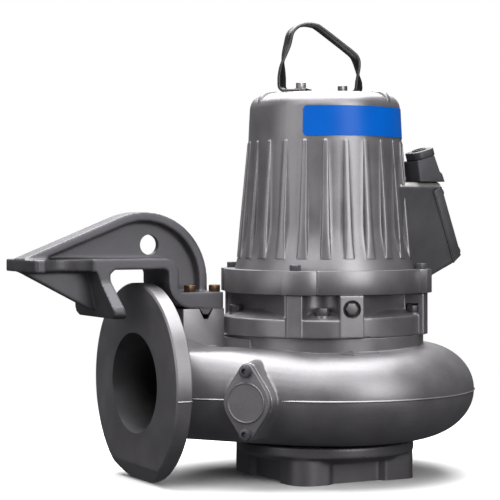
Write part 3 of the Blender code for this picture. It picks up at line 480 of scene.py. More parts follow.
SHELL_PAINT = paint_on_iron("epoxy_on_volute", "#807e81", "#929093", 0.70, 0.42, 0.00010)
for piece in (volute, pad, collar, step):
    finish(piece, SHELL_PAINT, ["volute_casing"])

# Rotation arrow: a low arrow cast on top of the volute, beside the collar.
# It belongs to the casting: a hollow in the mould raises it, and it gets the same paint.
ARROW_R = 0.1475
ARROW_RISE = 0.0018
ARROW_ROOT = 0.003
ARROW_SIDE = [(-90.0 - 2.5 * k, 0.0014) for k in range(7)] + [(-105.0, 0.0042)]
arrow = ARROW_SIDE + [(-112.0, 0.0)] + [(angle, -half) for angle, half in reversed(ARROW_SIDE)]
low_ring, high_ring = [], []
for angle, offset in arrow:
    turn = math.radians(angle)
    reach = ARROW_R + offset
    above = AXIS + radial(turn, reach, 0.3)
    surface = volute.ray_cast(above, Vector((0, 0, -1)))[1] - AXIS
    low_ring.append((surface.x, surface.y, surface.z - ARROW_ROOT))
    high_ring.append((surface.x, surface.y, surface.z + ARROW_RISE))
finish(loft("rotation_arrow", [low_ring, high_ring]), SHELL_PAINT)

# Parting line: the thin fin that the two halves of the mould leave round the volute, along its neck
# and on the rim of its flange. It is part of the casting, dressed down but still proud of the surface.
FIN_HALF = 0.0016
FIN_HEIGHT = 0.0013
FIN_RIPPLE = 0.0003
FIN_ROOT = 0.004


def fin_strip(name, path):
    """A low ridge along a level path on the side of the casting."""
    rings = []
    for i, (x, y) in enumerate(path):
        before, after = Vector(path[max(0, i - 1)]), Vector(path[min(len(path) - 1, i + 1)])
        along = (after - before).normalized()
        out = Vector((along.y, -along.x))
        crest = FIN_HEIGHT + FIN_RIPPLE * math.sin(i * 2.1)
        section = [(-FIN_ROOT, -FIN_HALF), (-0.0002, -FIN_HALF), (crest, 0.0)]
        section += [(-0.0002, FIN_HALF), (-FIN_ROOT, FIN_HALF)]
        rings.append([(x + out.x * reach, y + out.y * reach, PARTING_Z + rise) for reach, rise in section])
    finish(loft(name, rings), SHELL_PAINT)


def neck_path(side, places):
    """Points of the parting line on one side of the neck, found on the casting itself."""
    path = []
    for x in places:
        start = AXIS + Vector((x, OUTLET_Y + side * 0.4, PARTING_Z))
        surface = volute.ray_cast(start, Vector((0, -side, 0)))[1]
        path.append((x, surface.y - AXIS.y))
    return path


neck_places = [FLANGE_X + FLANGE_THICKNESS + 0.0050 * k for k in range(21)]
fin_strip("parting_fin_neck", neck_path(-1, neck_places[:11]))
fin_strip("parting_fin_far_neck", list(reversed(neck_path(1, neck_places))))
rim_reach = math.sqrt(FLANGE_R**2 - (PARTING_Z - OUTLET_Z) ** 2)
rim_places = [FLANGE_X + 0.0015 + 0.0040 * k for k in range(6)]
fin_strip("parting_fin_rim", [(x, OUTLET_Y - rim_reach) for x in rim_places])
fin_strip("parting_fin_far_rim", [(x, OUTLET_Y + rim_reach) for x in reversed(rim_places)])
shell_turns = [math.radians(-140 + 3.7 * k) for k in range(73)]
fin_strip("parting_fin", [radial(turn, shell_radius(turn), 0.0).xy for turn in shell_turns])

# Inspection cover: a plate with two screws over a port where the neck begins.
# A small iron casting on a thin black gasket, with a raised round face inside a rim.
COVER_LAYERS = [(0.0018, 0.0), (0.0072, 0.0), (0.0084, -0.0012)]
COVER_RIM = [(0.0060, 0.0284), (0.0098, 0.0280), (0.0106, 0.0273)]
COVER_FACE = [(0.0106, 0.0262), (0.0099, 0.0254), (0.0099, 0.0060)]
COVER_SCREW_FOOT = 0.0078
COVER_SCREW = (0.0084, 0.0070)
COVER_PAINT = paint_on_iron("epoxy_on_small_casting", "#6d6b6f", "#7f7d81", 0.50, 0.50, 0.00034)
DARK_SCREW = paint_on_iron("paint_on_screws", "#55545a", "#66656a", 0.5, 0.38, 0.00005)


def socket_screw(name, foot_point, normal, size, material):
    """A cap screw with a hexagon socket; its size is the radius and height of its head."""
    radius, height = size
    screw = rod(name, foot_point, foot_point + normal * height, radius, 40)
    soften(screw, radius * 0.12, 2)
    socket_ends = [foot_point + normal * height * share for share in (0.4, 1.3)]
    cut(screw, rod("socket", *socket_ends, radius * 0.56, 6), solver="EXACT")
    finish(screw, material)


cover = rhombus("inspection_cover_casting", COVER_LAYERS)
soften(cover, 0.0006, 2)
finish(cover, COVER_PAINT, ["inspection_cover"])
disc_rings = [on_seat(circle(radius, 144), height) for height, radius in COVER_RIM + COVER_FACE]
finish(loft("inspection_cover_disc", disc_rings), COVER_PAINT)
for number, height in enumerate((INSPECTION_REACH, -INSPECTION_REACH)):
    seat = SEAT + SEAT_NORMAL * COVER_SCREW_FOOT + Vector((0, 0, height))
    socket_screw(f"inspection_screw_{number + 1}", seat, SEAT_NORMAL, COVER_SCREW, DARK_SCREW)

# Oil housing: the round iron casting between the volute and the motor, with four columns.
# Its lower flange is bolted to the volute; the pad on the near side carries the oil plug.
UP = Vector((0, 0, 1))
OIL_BOTTOM = COLLAR_TOP + 0.0003
OIL_TOP = 0.2645
LOBE_ANGLES = [math.radians(43 + 90 * number) for number in range(4)]
COLUMN_R = 0.1515
COLUMN_HALF = 0.0125
COLUMN_CHAMFER = 0.002
PLUG_ANGLE = math.radians(-106)
PLUG_Z = 0.2456
PLUG_PAD_HALF = 0.0170
PLUG_RECESS_R = (0.1445, 0.0128)
PLUG_WASHER_R = (0.1446, 0.1462)
PLUG_HEAD = (0.0162, 0.0046)
FLANGE_BOLT_ANGLES = [math.radians(-118 + offset) for offset in (-76, -4, 68, 140, 212)]
FLANGE_BOLT = (0.0168, 0.0108)
BOLT_CIRCLE_R = 0.134
BOLT_SEAT_Z = 0.2362
LEDGE_Z = 0.2300
LEDGE_SLOPE = 0.40
LEDGE_INNER_R = 0.110
WALL_R = 0.1415
WALL_FLATS = [(-177, 0.1187), (-66, 0.1200), (24, 0.1225), (96, 0.1225)]
POCKET_ANGLE = math.radians(-122.6)
POCKET_CENTRE_R = 0.1501
POCKET_R = 0.0276
WIDE_FLANGE_R = 0.150
WIDE_FLANGE = (-213.0, -99.3)


def wall_radius(angle):
    """The round wall, flat behind the bolts, with a round pocket for the front bolt."""
    reach = WALL_R
    for facing, apothem in WALL_FLATS:
        turn = math.cos(angle - math.radians(facing))
        if turn > 0.5:
            reach = min(reach, apothem / turn)
    ahead = POCKET_CENTRE_R * math.cos(angle - POCKET_ANGLE)
    aside = POCKET_CENTRE_R * math.sin(angle - POCKET_ANGLE)
    if ahead > 0 and abs(aside) < POCKET_R:
        reach = min(reach, ahead - math.sqrt(POCKET_R**2 - aside**2))
    return reach


def ledge_height(radius):
    """Height of the sloping top of the bolted flange."""
    return LEDGE_Z + (WIDE_FLANGE_R - radius) * LEDGE_SLOPE


def column(angle):
    """A cast column that stands out of the wall, with its corners chamfered."""
    edge = COLUMN_HALF - COLUMN_CHAMFER
    flat = [(0.095, -COLUMN_HALF), (COLUMN_R - COLUMN_CHAMFER, -COLUMN_HALF), (COLUMN_R, -edge)]
    flat += [(COLUMN_R, edge), (COLUMN_R - COLUMN_CHAMFER, COLUMN_HALF), (0.095, COLUMN_HALF)]
    return prism("column", turned_outline(flat, angle), OIL_BOTTOM, OIL_TOP)


def hexagon_bolt(name, foot_point, normal, size, material, turn=0.0, washer=0.0):
    """A hexagon head with a chamfered top, on its washer if it has one; its size is width and height."""
    across, height = size
    across_corners = across / math.cos(math.radians(30))
    side = normal.orthogonal().normalized()
    up = normal.cross(side)
    rings = []
    for share, level in ((1.0, 0.0), (1.0, height - across * 0.06), (0.90, height)):
        ring = []
        middle = foot_point + normal * (level + washer * 0.9)
        for i in range(6):
            angle = turn + math.radians(60 * i)
            reach = across_corners / 2 * share
            ring.append(middle + side * (reach * math.cos(angle)) + up * (reach * math.sin(angle)))
        rings.append(ring)
    head = loft(name, rings)
    soften(head, across * 0.03, 2, 20)
    if washer:
        plate = rod("washer", foot_point, foot_point + normal * washer, across * 0.66)
        soften(plate, washer * 0.25, 2)
        join(head, plate, solver="EXACT")
    finish(head, material)
    return head


def bright_steel(name, code, roughness):
    """Stainless steel, turned and pickled: fine turning marks break up its reflections."""
    material, tree, shader, place = start_material(name)
    marks = add_node(tree, "ShaderNodeTexNoise", {}, {"Vector": place, "Scale": per_metre(1.6), "Detail": 4.0})
    streaks = {"Value": marks.outputs["Fac"], "From Min": 0.35, "From Max": 0.7}
    streaks.update({"To Min": roughness - 0.06, "To Max": roughness + 0.10})
    gloss = add_node(tree, "ShaderNodeMapRange", {}, streaks)
    tree.links.new(gloss.outputs[0], shader.inputs["Roughness"])
    bump = add_node(tree, "ShaderNodeBump", {}, {"Height": marks.outputs["Fac"], "Strength": 0.25, "Distance": 0.0001})
    tree.links.new(bump.outputs[0], shader.inputs["Normal"])
    shader.inputs["Base Color"].default_value = srgb(code)
    shader.inputs["Metallic"].default_value = 1.0
    return material


def black_rubber(name, dark, pale):
    """Moulded nitrile rubber: nearly black and matt, with a slight bloom."""
    material, tree, shader, place = start_material(name)
    bloom = add_node(tree, "ShaderNodeTexNoise", {}, {"Vector": place, "Scale": per_metre(5), "Detail": 3.0})
    shades = {0: bloom.outputs["Fac"], 6: srgb(dark), 7: srgb(pale)}
    colour = add_node(tree, "ShaderNodeMix", {"data_type": "RGBA"}, shades)
    tree.links.new(colour.outputs[2], shader.inputs["Base Color"])
    shader.inputs["Roughness"].default_value = 0.62
    return material


PAINT = paint_on_iron("epoxy_on_sand_cast_iron", "#807e81", "#929093", 0.72, 0.40, 0.00008)
PLUG_METAL = bright_steel("plug_steel_dull", "#6f6d6d", 0.46)
RUBBER = black_rubber("nitrile_rubber_moulded", "#1b1b1d", "#2c2c2f")

wall_turns = [math.radians(degree) for degree in range(360)]
wall = [radial(turn, wall_radius(turn), 0.0).xy for turn in wall_turns]
wide_rings = []
inner_edge = (LEDGE_INNER_R, ledge_height(LEDGE_INNER_R))
for radius, height in ((WIDE_FLANGE_R, OIL_BOTTOM), (WIDE_FLANGE_R, LEDGE_Z), inner_edge):
    edge = arc((0, 0), radius, WIDE_FLANGE[0], WIDE_FLANGE[1], 60)
    wide_rings.append([(a, b, height) for a, b in edge + [(0.0, 0.0)]])
plug_pad = [(0.090, -PLUG_PAD_HALF), (WIDE_FLANGE_R, -PLUG_PAD_HALF)]
plug_pad += [(WIDE_FLANGE_R, PLUG_PAD_HALF), (0.090, PLUG_PAD_HALF)]
oil_solids = [
    prism("oil_wall", wall, OIL_BOTTOM, OIL_TOP),
    turned("oil_flange", [(COLLAR_R, OIL_BOTTOM), (COLLAR_R, ledge_height(COLLAR_R)), inner_edge], 144),
    loft("wide_flange", wide_rings),
]
oil_solids += [column(angle) for angle in LOBE_ANGLES]
oil_solids.append(prism("plug_pad", turned_outline(plug_pad, PLUG_ANGLE), OIL_BOTTOM, OIL_TOP))
oil_housing = cast("oil_housing_casting", oil_solids, voxel=0.0013, passes=1, keep=0.45)
for angle in FLANGE_BOLT_ANGLES:
    spot = radial(angle, BOLT_CIRCLE_R, 0.0)
    cut(oil_housing, turned("spot_face", [(0.0108, BOLT_SEAT_Z), (0.0108, 0.2500)], 40, spot.xy))
plug_seat = [radial(PLUG_ANGLE, reach, PLUG_Z) for reach in (PLUG_RECESS_R[0], 0.160)]
cut(oil_housing, rod("plug_seat", *plug_seat, PLUG_RECESS_R[1]))
finish(oil_housing, PAINT, ["oil_housing"])

for number, angle in enumerate(FLANGE_BOLT_ANGLES):
    head_foot = radial(angle, BOLT_CIRCLE_R, BOLT_SEAT_Z + 0.0002)
    seat = turned(f"bolt_seat_{number + 1}", [(0.0102, 0.2260), (0.0096, head_foot.z)], 40, head_foot.xy)
    finish(seat, PAINT)
    hexagon_bolt(f"flange_bolt_{number + 1}", head_foot, UP, FLANGE_BOLT, DARK_SCREW, angle)
washer_ends = [radial(PLUG_ANGLE, reach, PLUG_Z) for reach in PLUG_WASHER_R]
washer = rod("plug_washer_ring", *washer_ends, 0.0118, 64)
plug = hexagon_bolt("oil_plug_head", washer_ends[1], radial(PLUG_ANGLE, 1.0, 0.0), PLUG_HEAD, PLUG_METAL, 0.3)
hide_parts("oil_plug")
finish(washer, RUBBER, ["plug_washer"])

# Motor housing: the barrel with its cooling ribs, the lower ring and the body of the cable box.
# One grey-iron casting; the ring is turned, the rest keeps the soft corners of the mould.
RING_BOTTOM = 0.2648
RING_TOP = 0.2985
RING_R = 0.147
RING_LOBE = [(0.095, -0.0165), (0.1570, -0.0165), (0.1570, 0.0124), (0.1470, 0.0318), (0.095, 0.0318)]
RING_BOLT = (0.0140, 0.0084)
RING_BOLT_R = 0.1445
RIB_COUNT = 24
RIB_FOOT_Z = 0.3148
RIB_TIP_Z = 0.4835
RIB_HALF = (0.0072, 0.0036)
RIB_FACE_R = 0.1288
RIB_FACE_TAPER = 0.0925
RIB_WIDTH_R = 0.118
RIB_STEP = 0.0040
BARREL_POINTS = [
    (0.1330, 0.2900), (0.1318, 0.2990), (0.1288, 0.3110), (0.1253, 0.3230), (0.1220, 0.3350), (0.1194, 0.3460),
    (0.1178, 0.3560), (0.1168, 0.3680), (0.1157, 0.3900), (0.1144, 0.4200), (0.1132, 0.4500), (0.1122, 0.4800),
    (0.1112, 0.5050), (0.1100, 0.5280), (0.1093, 0.5340), (0.1075, 0.5395), (0.1040, 0.5445), (0.0990, 0.5482),
    (0.0930, 0.5506), (0.0860, 0.5520),
]
SHOULDER_LUG = [
    (0.080, 0.530), (0.1085, 0.532), (0.1086, 0.539), (0.1066, 0.546), (0.1016, 0.5518), (0.0950, 0.5545),
    (0.080, 0.5550),
]
BOX_HALF = 0.088
BOX_TOP = 0.4245
BOX_EDGE = (0.0070, 0.0080)
SEAT_TOP = Vector((0.1312, 0.4110))
SEAT_FOOT = Vector((0.1670, 0.3062))
# The cable box, its lid, entry, clamp and lid screws take darker colours than the rest of the casting: painted shade.
BOX_COLOURS = ("#454448", "#525155")


def through_points(points, steps):
    """A smooth curve through a list of vectors."""
    result = []
    for i in range(len(points) - 1):
        a, b = points[max(0, i - 1)], points[i]
        c, d = points[i + 1], points[min(len(points) - 1, i + 2)]
        for k in range(steps):
            t = k / steps
            square = (2 * a - 5 * b + 4 * c - d) * t * t
            cube = (3 * b - a - 3 * c + d) * t**3
            result.append(0.5 * (2 * b + (c - a) * t + square + cube))
    return result + [points[-1]]


BARREL = [tuple(point) for point in through_points([Vector(point) for point in BARREL_POINTS], 4)]


def barrel_radius(height):
    """Radius of the barrel at a height, read from its profile."""
    for (r0, z0), (r1, z1) in zip(BARREL, BARREL[1:]):
        if z0 <= height <= z1:
            return r0 + (r1 - r0) * (height - z0) / (z1 - z0)
    return BARREL[-1][0]


def rib_half(height):
    """Half the width of a rib, which narrows upwards to a round tip."""
    share = (height - RIB_FOOT_Z) / (RIB_TIP_Z - RIB_FOOT_Z)
    half = RIB_HALF[0] + (RIB_HALF[1] - RIB_HALF[0]) * share
    to_tip = max(0.0, min(1.0, (RIB_TIP_Z - height) / half))
    return max(0.0012, half * math.sqrt(1 - (1 - to_tip) ** 2))


def rib_rise(height):
    """How far a rib stands out of the barrel; its face is a straight taper."""
    if height < RIB_FOOT_Z or height > RIB_TIP_Z:
        return 0.0
    face = RIB_FACE_R - (height - RIB_FOOT_Z) * RIB_FACE_TAPER
    fade = min(1.0, (RIB_TIP_Z - height) / 0.003)
    return max(0.0, face - barrel_radius(height)) * fade


def rub_thin(material, low, high, code):
    """Lighten the base colour to a pale band between two heights along the upper edge: a painted highlight."""
    tree = material.node_tree
    shader = tree.nodes["Principled BSDF"]
    painted = shader.inputs["Base Color"].links[0].from_socket
    place = add_node(tree, "ShaderNodeTexCoord", {}, {})
    split = add_node(tree, "ShaderNodeSeparateXYZ", {}, {0: place.outputs["Object"]})
    start = add_node(tree, "ShaderNodeMapRange", {}, {0: split.outputs["Z"], 1: low, 2: low + 0.0035})
    end = add_node(tree, "ShaderNodeMapRange", {}, {0: split.outputs["Z"], 1: high - 0.0012, 2: high})
    clamped = {"operation": "SUBTRACT", "use_clamp": True}
    share = add_node(tree, "ShaderNodeMath", clamped, {0: start.outputs[0], 1: end.outputs[0]})
    shades = {0: share.outputs[0], 6: painted, 7: srgb(code)}
    mixed = add_node(tree, "ShaderNodeMix", {"data_type": "RGBA"}, shades)
    tree.links.new(mixed.outputs[2], shader.inputs["Base Color"])


RIB_SECTION = [(-1.15, 0.0), (-1.04, 0.05), (-0.98, 0.25), (-0.92, 0.66), (-0.84, 0.86), (-0.70, 0.96)]
RIB_SECTION += [(-0.40, 1.02), (0.0, 1.04)]
RIB_SECTION += [(-place, rise) for place, rise in reversed(RIB_SECTION[:-1])]
levels = [z for r, z in BARREL if z < 0.3110] + [0.3110, RIB_FOOT_Z - 0.0012, RIB_FOOT_Z - 0.0001]
levels += [RIB_FOOT_Z + 0.0001] + [RIB_FOOT_Z + RIB_STEP * k for k in range(1, 41)]
levels += [0.4760 + 0.0009 * k for k in range(10)] + [z for r, z in BARREL if z > 0.4850]
barrel_rings = []
for z in levels:
    half, rise = rib_half(z), rib_rise(z)
    ring = []
    for number in range(RIB_COUNT):
        middle = 2 * math.pi * number / RIB_COUNT
        for place, share in RIB_SECTION:
            radius = barrel_radius(z) + rise * share
            ring.append(radial(middle + place * half / RIB_WIDTH_R, radius, z))
        edge = RIB_SECTION[-1][0] * half / RIB_WIDTH_R
        gap = 2 * math.pi / RIB_COUNT - 2 * edge
        for part in (1, 2, 3):
            ring.append(radial(middle + edge + gap * part / 4, barrel_radius(z), z))
    barrel_rings.append(ring)
motor = loft("motor_housing_casting", barrel_rings)
for angle in (math.radians(-62), math.radians(58), math.radians(178)):
    rings = []
    for half in (-0.0050, 0.0050):
        c, s = math.cos(angle), math.sin(angle)
        rings.append([(x * c - half * s, x * s + half * c, z) for x, z in SHOULDER_LUG])
    join(motor, soften(loft("shoulder_lug", rings), 0.0030, 4), solver="EXACT")
ring = turned("ring", [(RING_R, RING_BOTTOM), (RING_R, RING_TOP)], 144)
for angle in LOBE_ANGLES:
    join(ring, prism("ring_lobe", turned_outline(RING_LOBE, angle), RING_BOTTOM, RING_TOP), solver="EXACT")
soften(ring, 0.0010, 2, 40)
join(motor, ring, solver="EXACT")
finish(motor, PAINT, ["motor_housing"])

edge_in, edge_drop = BOX_EDGE
box_rings = []
for y, drop in ((-BOX_HALF, edge_drop), (-BOX_HALF + edge_in, 0.0), (BOX_HALF - edge_in, 0.0), (BOX_HALF, edge_drop)):
    side = [(0.040, 0.2690), (0.1270, 0.2875), SEAT_FOOT, SEAT_TOP, (0.1450, 0.4165)]
    side += [(0.1450, BOX_TOP - drop * 0.5), (0.1430, BOX_TOP - drop), (0.040, BOX_TOP - drop)]
    box_rings.append([(x, y, z) for x, z in side])
box_body = cast("cable_box_casting", [loft("box_body", box_rings)], voxel=0.0018, passes=3, keep=0.5)
cut(box_body, turned("barrel_room", [(0.1100, 0.20), (0.1100, 0.50)]))
# A pale band along the top edge of the cable box is a painted highlight.
RUBBED_PAINT = paint_on_iron("epoxy_rubbed_at_the_edge", *BOX_COLOURS, 0.45, 0.48, 0.00026)
box_top_world = AXIS.z + BOX_TOP
rub_thin(RUBBED_PAINT, box_top_world - 0.0085, box_top_world - 0.0006, "#b2b0ae")
finish(box_body, RUBBED_PAINT)
for number, angle in enumerate(LOBE_ANGLES):
    spot = radial(angle, RING_BOLT_R, RING_TOP)
    hexagon_bolt(f"ring_bolt_{number + 1}", spot, UP, RING_BOLT, DARK_SCREW, angle)

# Name band: a thin self-adhesive film round the top of the barrel.
# Cobalt blue vinyl with a satin overlay and rounded corners.
BAND_Z = (0.4875, 0.5300)
BAND_ANGLES = (-136.5, -2.0)
BAND_R = 0.111
BAND_CORNER = 0.005
BAND_COLUMNS = 96


def blue_film(name):
    """Printed vinyl film: an even blue that the overlay lightens a little where light rakes it."""
    material, tree, shader, place = start_material(name)
    cloud = add_node(tree, "ShaderNodeTexNoise", {}, {"Vector": place, "Scale": per_metre(60), "Detail": 1.0})
    shades = {0: cloud.outputs["Fac"], 6: srgb("#004fae"), 7: srgb("#0063c6")}
    colour = add_node(tree, "ShaderNodeMix", {"data_type": "RGBA"}, shades)
    tree.links.new(colour.outputs[2], shader.inputs["Base Color"])
    shader.inputs["Roughness"].default_value = 0.34
    shader.inputs["Specular IOR Level"].default_value = 0.18
    return material


band_rings = []
span = math.radians(BAND_ANGLES[1] - BAND_ANGLES[0])
for i in range(BAND_COLUMNS + 1):
    share = i / BAND_COLUMNS
    angle = math.radians(BAND_ANGLES[0] + (BAND_ANGLES[1] - BAND_ANGLES[0]) * share)
    along = share * span * BAND_R
    near_end = min(along, span * BAND_R - along)
    trim = 0.0
    if near_end < BAND_CORNER:
        trim = BAND_CORNER - math.sqrt(max(0.0, BAND_CORNER**2 - (BAND_CORNER - near_end) ** 2))
    low_z, high_z = BAND_Z[0] + trim, BAND_Z[1] - trim
    ring = [radial(angle, barrel_radius(z) - 0.0008, z) for z in (low_z, high_z)]
    ring += [radial(angle, barrel_radius(z) + 0.0007, z) for z in (high_z, low_z)]
    band_rings.append(ring)
band = loft("name_band_film", band_rings)
finish(band, blue_film("blue_vinyl_film"), ["name_band"])

# Lifting bail: one flat bar with its feet turned in and its legs twisted half way up.
# Pickled stainless bar, dark and satin, held by two bolts through its feet.
BAIL_WIDTH = 0.026
BAIL_THICKNESS = 0.0045
BAIL_EDGE = 0.0012
BAIL_FOOT_Z = 0.5535
BAIL_PLANE = math.radians(10)
BAIL_FOOT_TURN = math.radians(50)
BAIL_LEGS = (-0.0668, 0.0531)
BAIL_BOLT_REACH = (0.0298, 0.025)
BAIL_BEND_R = 0.009
BAIL_BOLT = (0.0140, 0.0085)
BAIL_WASHER = 0.0012
BAIL_BOSS = [(0.0165, 0.5490), (0.0155, 0.5527), (0.0150, BAIL_FOOT_Z - 0.0003)]
BAIL_LOOP = [
    (-0.0668, 0.575, 50), (-0.0662, 0.588, 42), (-0.0646, 0.600, 28), (-0.0616, 0.612, 16), (-0.0580, 0.624, 10),
    (-0.0545, 0.6385, 10), (-0.0500, 0.6455, 10), (-0.0440, 0.6500, 10), (-0.0365, 0.6530, 10),
    (-0.0277, 0.6542, 10), (-0.0185, 0.6533, 10), (-0.0102, 0.6500, 10), (0.0200, 0.6292, 10),
    (0.0400, 0.6150, 10), (0.0465, 0.6090, 10), (0.0498, 0.6020, 12), (0.0515, 0.593, 20), (0.0523, 0.583, 32),
    (0.0531, 0.573, 46),
]


def bail_point(along, height):
    return Vector((along * math.cos(BAIL_PLANE), -along * math.sin(BAIL_PLANE), height))


def inward(sign):
    """The direction in which a foot of the bail is turned."""
    return Vector((math.cos(BAIL_FOOT_TURN), -math.sin(BAIL_FOOT_TURN), 0)) * sign


def bail_foot(leg, sign):
    """Stations of a foot and its bend, from the inner end up into the leg."""
    height = BAIL_FOOT_Z + BAIL_THICKNESS / 2
    flat = [bail_point(leg, height) + inward(sign) * reach for reach in (0.042, 0.0416, 0.024)]
    stations = [(point, BAIL_FOOT_TURN) for point in flat]
    for k in range(9):
        turn = math.radians(90 * k / 8)
        offset = inward(sign) * (BAIL_BEND_R * (1 - math.sin(turn)))
        rise = BAIL_BEND_R * (1 - math.cos(turn))
        stations.append((bail_point(leg, height + rise) + offset, BAIL_FOOT_TURN))
    return stations


smooth_loop = through_points([Vector(station) for station in BAIL_LOOP], 4)
stations = bail_foot(BAIL_LEGS[0], 1)
stations += [(bail_point(along, height), math.radians(turn)) for along, height, turn in smooth_loop]
stations += reversed(bail_foot(BAIL_LEGS[1], -1))
wide, thick = BAIL_WIDTH / 2, BAIL_THICKNESS / 2
bail_rings = []
for i, (point, turn) in enumerate(stations):
    direction = (stations[min(len(stations) - 1, i + 1)][0] - stations[max(0, i - 1)][0]).normalized()
    across = Vector((math.sin(turn), math.cos(turn), 0))
    across = (across - direction * across.dot(direction)).normalized()
    through = direction.cross(across).normalized()
    ring = []
    for a, b in ((1, 1), (-1, 1), (-1, -1), (1, -1)):
        corner_points = [(a * wide, b * (thick - BAIL_EDGE)), (a * (wide - BAIL_EDGE), b * thick)]
        for u, v in corner_points if a * b > 0 else reversed(corner_points):
            ring.append(point + across * u + through * v)
    bail_rings.append(ring)
bail = loft("lifting_bail_bar", bail_rings)
BAIL_STEEL = bright_steel("flat_bar_pickled", "#4d4b4c", 0.36)
STAINLESS = bright_steel("stainless_steel_pickled", "#8d8b8a", 0.34)
finish(bail, BAIL_STEEL, ["lifting_bail"], 50)
for number, (leg, sign) in enumerate(zip(BAIL_LEGS, (1, -1))):
    spot = bail_point(leg, BAIL_FOOT_Z) + inward(sign) * BAIL_BOLT_REACH[number]
    boss = turned(f"bail_boss_{number + 1}", BAIL_BOSS, 64, (spot.x, spot.y))
    finish(boss, PAINT)
    bolt_foot = spot + UP * BAIL_THICKNESS
    hexagon_bolt(f"bail_bolt_{number + 1}", bolt_foot, UP, BAIL_BOLT, STAINLESS, 0.2, BAIL_WASHER)

# Cable box lid: the cast cover on the sloping side of the box, on its gasket.
# A flat iron casting with rounded edges, held by a socket screw at each corner.
GASKET_TOP = 0.0017
LID_TOP = 0.0168
LID_SCREW = (0.0058, 0.0052)
LID_SCREW_PLACES = [(along, y) for along in (0.008, 0.098) for y in (-0.076, 0.076)]
down = (SEAT_FOOT - SEAT_TOP).normalized()
out = Vector((-down.y, down.x))


def layer(name, low, high, top_inset, foot_inset):
    """A plate on the sloping seat; the insets draw in its ends at its underside and its face."""
    corners = [SEAT_TOP + down * top_inset[0] + out * low, SEAT_FOOT - down * foot_inset[0] + out * low]
    corners += [SEAT_FOOT - down * foot_inset[1] + out * high, SEAT_TOP + down * top_inset[1] + out * high]
    return prism(name, [tuple(point) for point in corners], -BOX_HALF, BOX_HALF, across=True)


# Darker than the paint on the barrel: painted shade.
BOX_PAINT = paint_on_iron("epoxy_on_cable_box", *BOX_COLOURS, 0.45, 0.48, 0.00026)
GASKET_SHEET = black_rubber("gasket_sheet_grey", "#38373a", "#444346")
gasket = layer("box_gasket_sheet", 0.0001, GASKET_TOP, (0.0, 0.0), (0.0, 0.0))
finish(gasket, GASKET_SHEET, ["box_gasket"])
lid = layer("box_lid_casting", GASKET_TOP, LID_TOP, (0.0002, -0.0022), (0.0, 0.006))
soften(lid, 0.0018, 4)
finish(lid, BOX_PAINT, ["box_cover"])
for number, (along, y) in enumerate(LID_SCREW_PLACES):
    spot = SEAT_TOP + down * along + out * (LID_TOP - 0.0002)
    screw_foot = Vector((spot.x, y, spot.y))
    socket_screw(f"lid_screw_{number + 1}", screw_foot, Vector((out.x, 0, out.y)), LID_SCREW, BOX_PAINT)

# Cable entry: the neck on top of the box, closed by an oval clamp that holds an open bush.
# The neck and the clamp are small iron castings; the bush is moulded nitrile rubber.
ENTRY = Vector((0.1275, -0.071, BOX_TOP + 0.0003))
ENTRY_TILT = math.radians(-16)
ENTRY_HEIGHT = 0.035
CLAMP_SHIFT = 0.003
CLAMP_LOW = ENTRY_HEIGHT + 0.0003
CLAMP_HIGH = CLAMP_LOW + 0.0112
CABLE_HOLE_R = 0.0105
BUSH_R = (0.0102, 0.0074)
ENTRY_LEVELS = [
    (-0.012, 0.0222, 0.0200, 0.004, 0.0011), (0.0060, 0.0208, 0.0197, 0.0035, 0.0007),
    (0.0105, 0.0188, 0.0193, 0.003, -0.0004), (ENTRY_HEIGHT, 0.0159, 0.0190, 0.003, 0.0),
]
CLAMP_LEVELS = [(height, 0.0175, 0.019, 0.011, CLAMP_SHIFT) for height in (CLAMP_LOW, CLAMP_HIGH)]
entry_up = Vector((math.sin(ENTRY_TILT), 0, math.cos(ENTRY_TILT)))
entry_side = Vector((entry_up.z, 0, -entry_up.x))


def oblong(name, levels):
    """A plate or neck with rounded corners; each level is (height, half_x, half_y, corner, shift)."""
    rings = []
    for height, half_x, half_y, corner, shift in levels:
        ring = []
        for quarter, (sx, sy) in enumerate(((1, 1), (-1, 1), (-1, -1), (1, -1))):
            middle = (shift + sx * (half_x - corner), sy * (half_y - corner))
            for a, b in arc(middle, corner, 90 * quarter, 90 * quarter + 90, 10):
                ring.append(ENTRY + entry_up * height + entry_side * a + Vector((0, b, 0)))
        rings.append(ring)
    return loft(name, rings)


def bush_rod(name, low, high, radius):
    """A round bar on the axis of the bush, between two heights above the box."""
    foot_point = ENTRY + entry_side * CLAMP_SHIFT
    return rod(name, foot_point + entry_up * low, foot_point + entry_up * high, radius, 64)


entry = oblong("cable_entry_casting", ENTRY_LEVELS)
cut(entry, block("entry_seat", (0.0, 0.3), (-0.2, 0.1), (0.35, ENTRY.z)), solver="EXACT")
soften(entry, 0.0015)
finish(entry, BOX_PAINT, ["cable_entry"])
clamp = oblong("cable_clamp_casting", CLAMP_LEVELS)
soften(clamp, 0.0012)
cut(clamp, bush_rod("cable_hole", CLAMP_LOW - 0.005, CLAMP_HIGH + 0.005, CABLE_HOLE_R), solver="EXACT")
finish(clamp, BOX_PAINT, ["cable_clamp"])
bush = bush_rod("cable_bush_ring", CLAMP_LOW, CLAMP_HIGH + 0.002, BUSH_R[0])
soften(bush, 0.0008, 2)
cut(bush, bush_rod("bush_bore", CLAMP_LOW - 0.005, CLAMP_HIGH + 0.008, BUSH_R[1]), solver="EXACT")
finish(bush, RUBBER, ["cable_bush"])

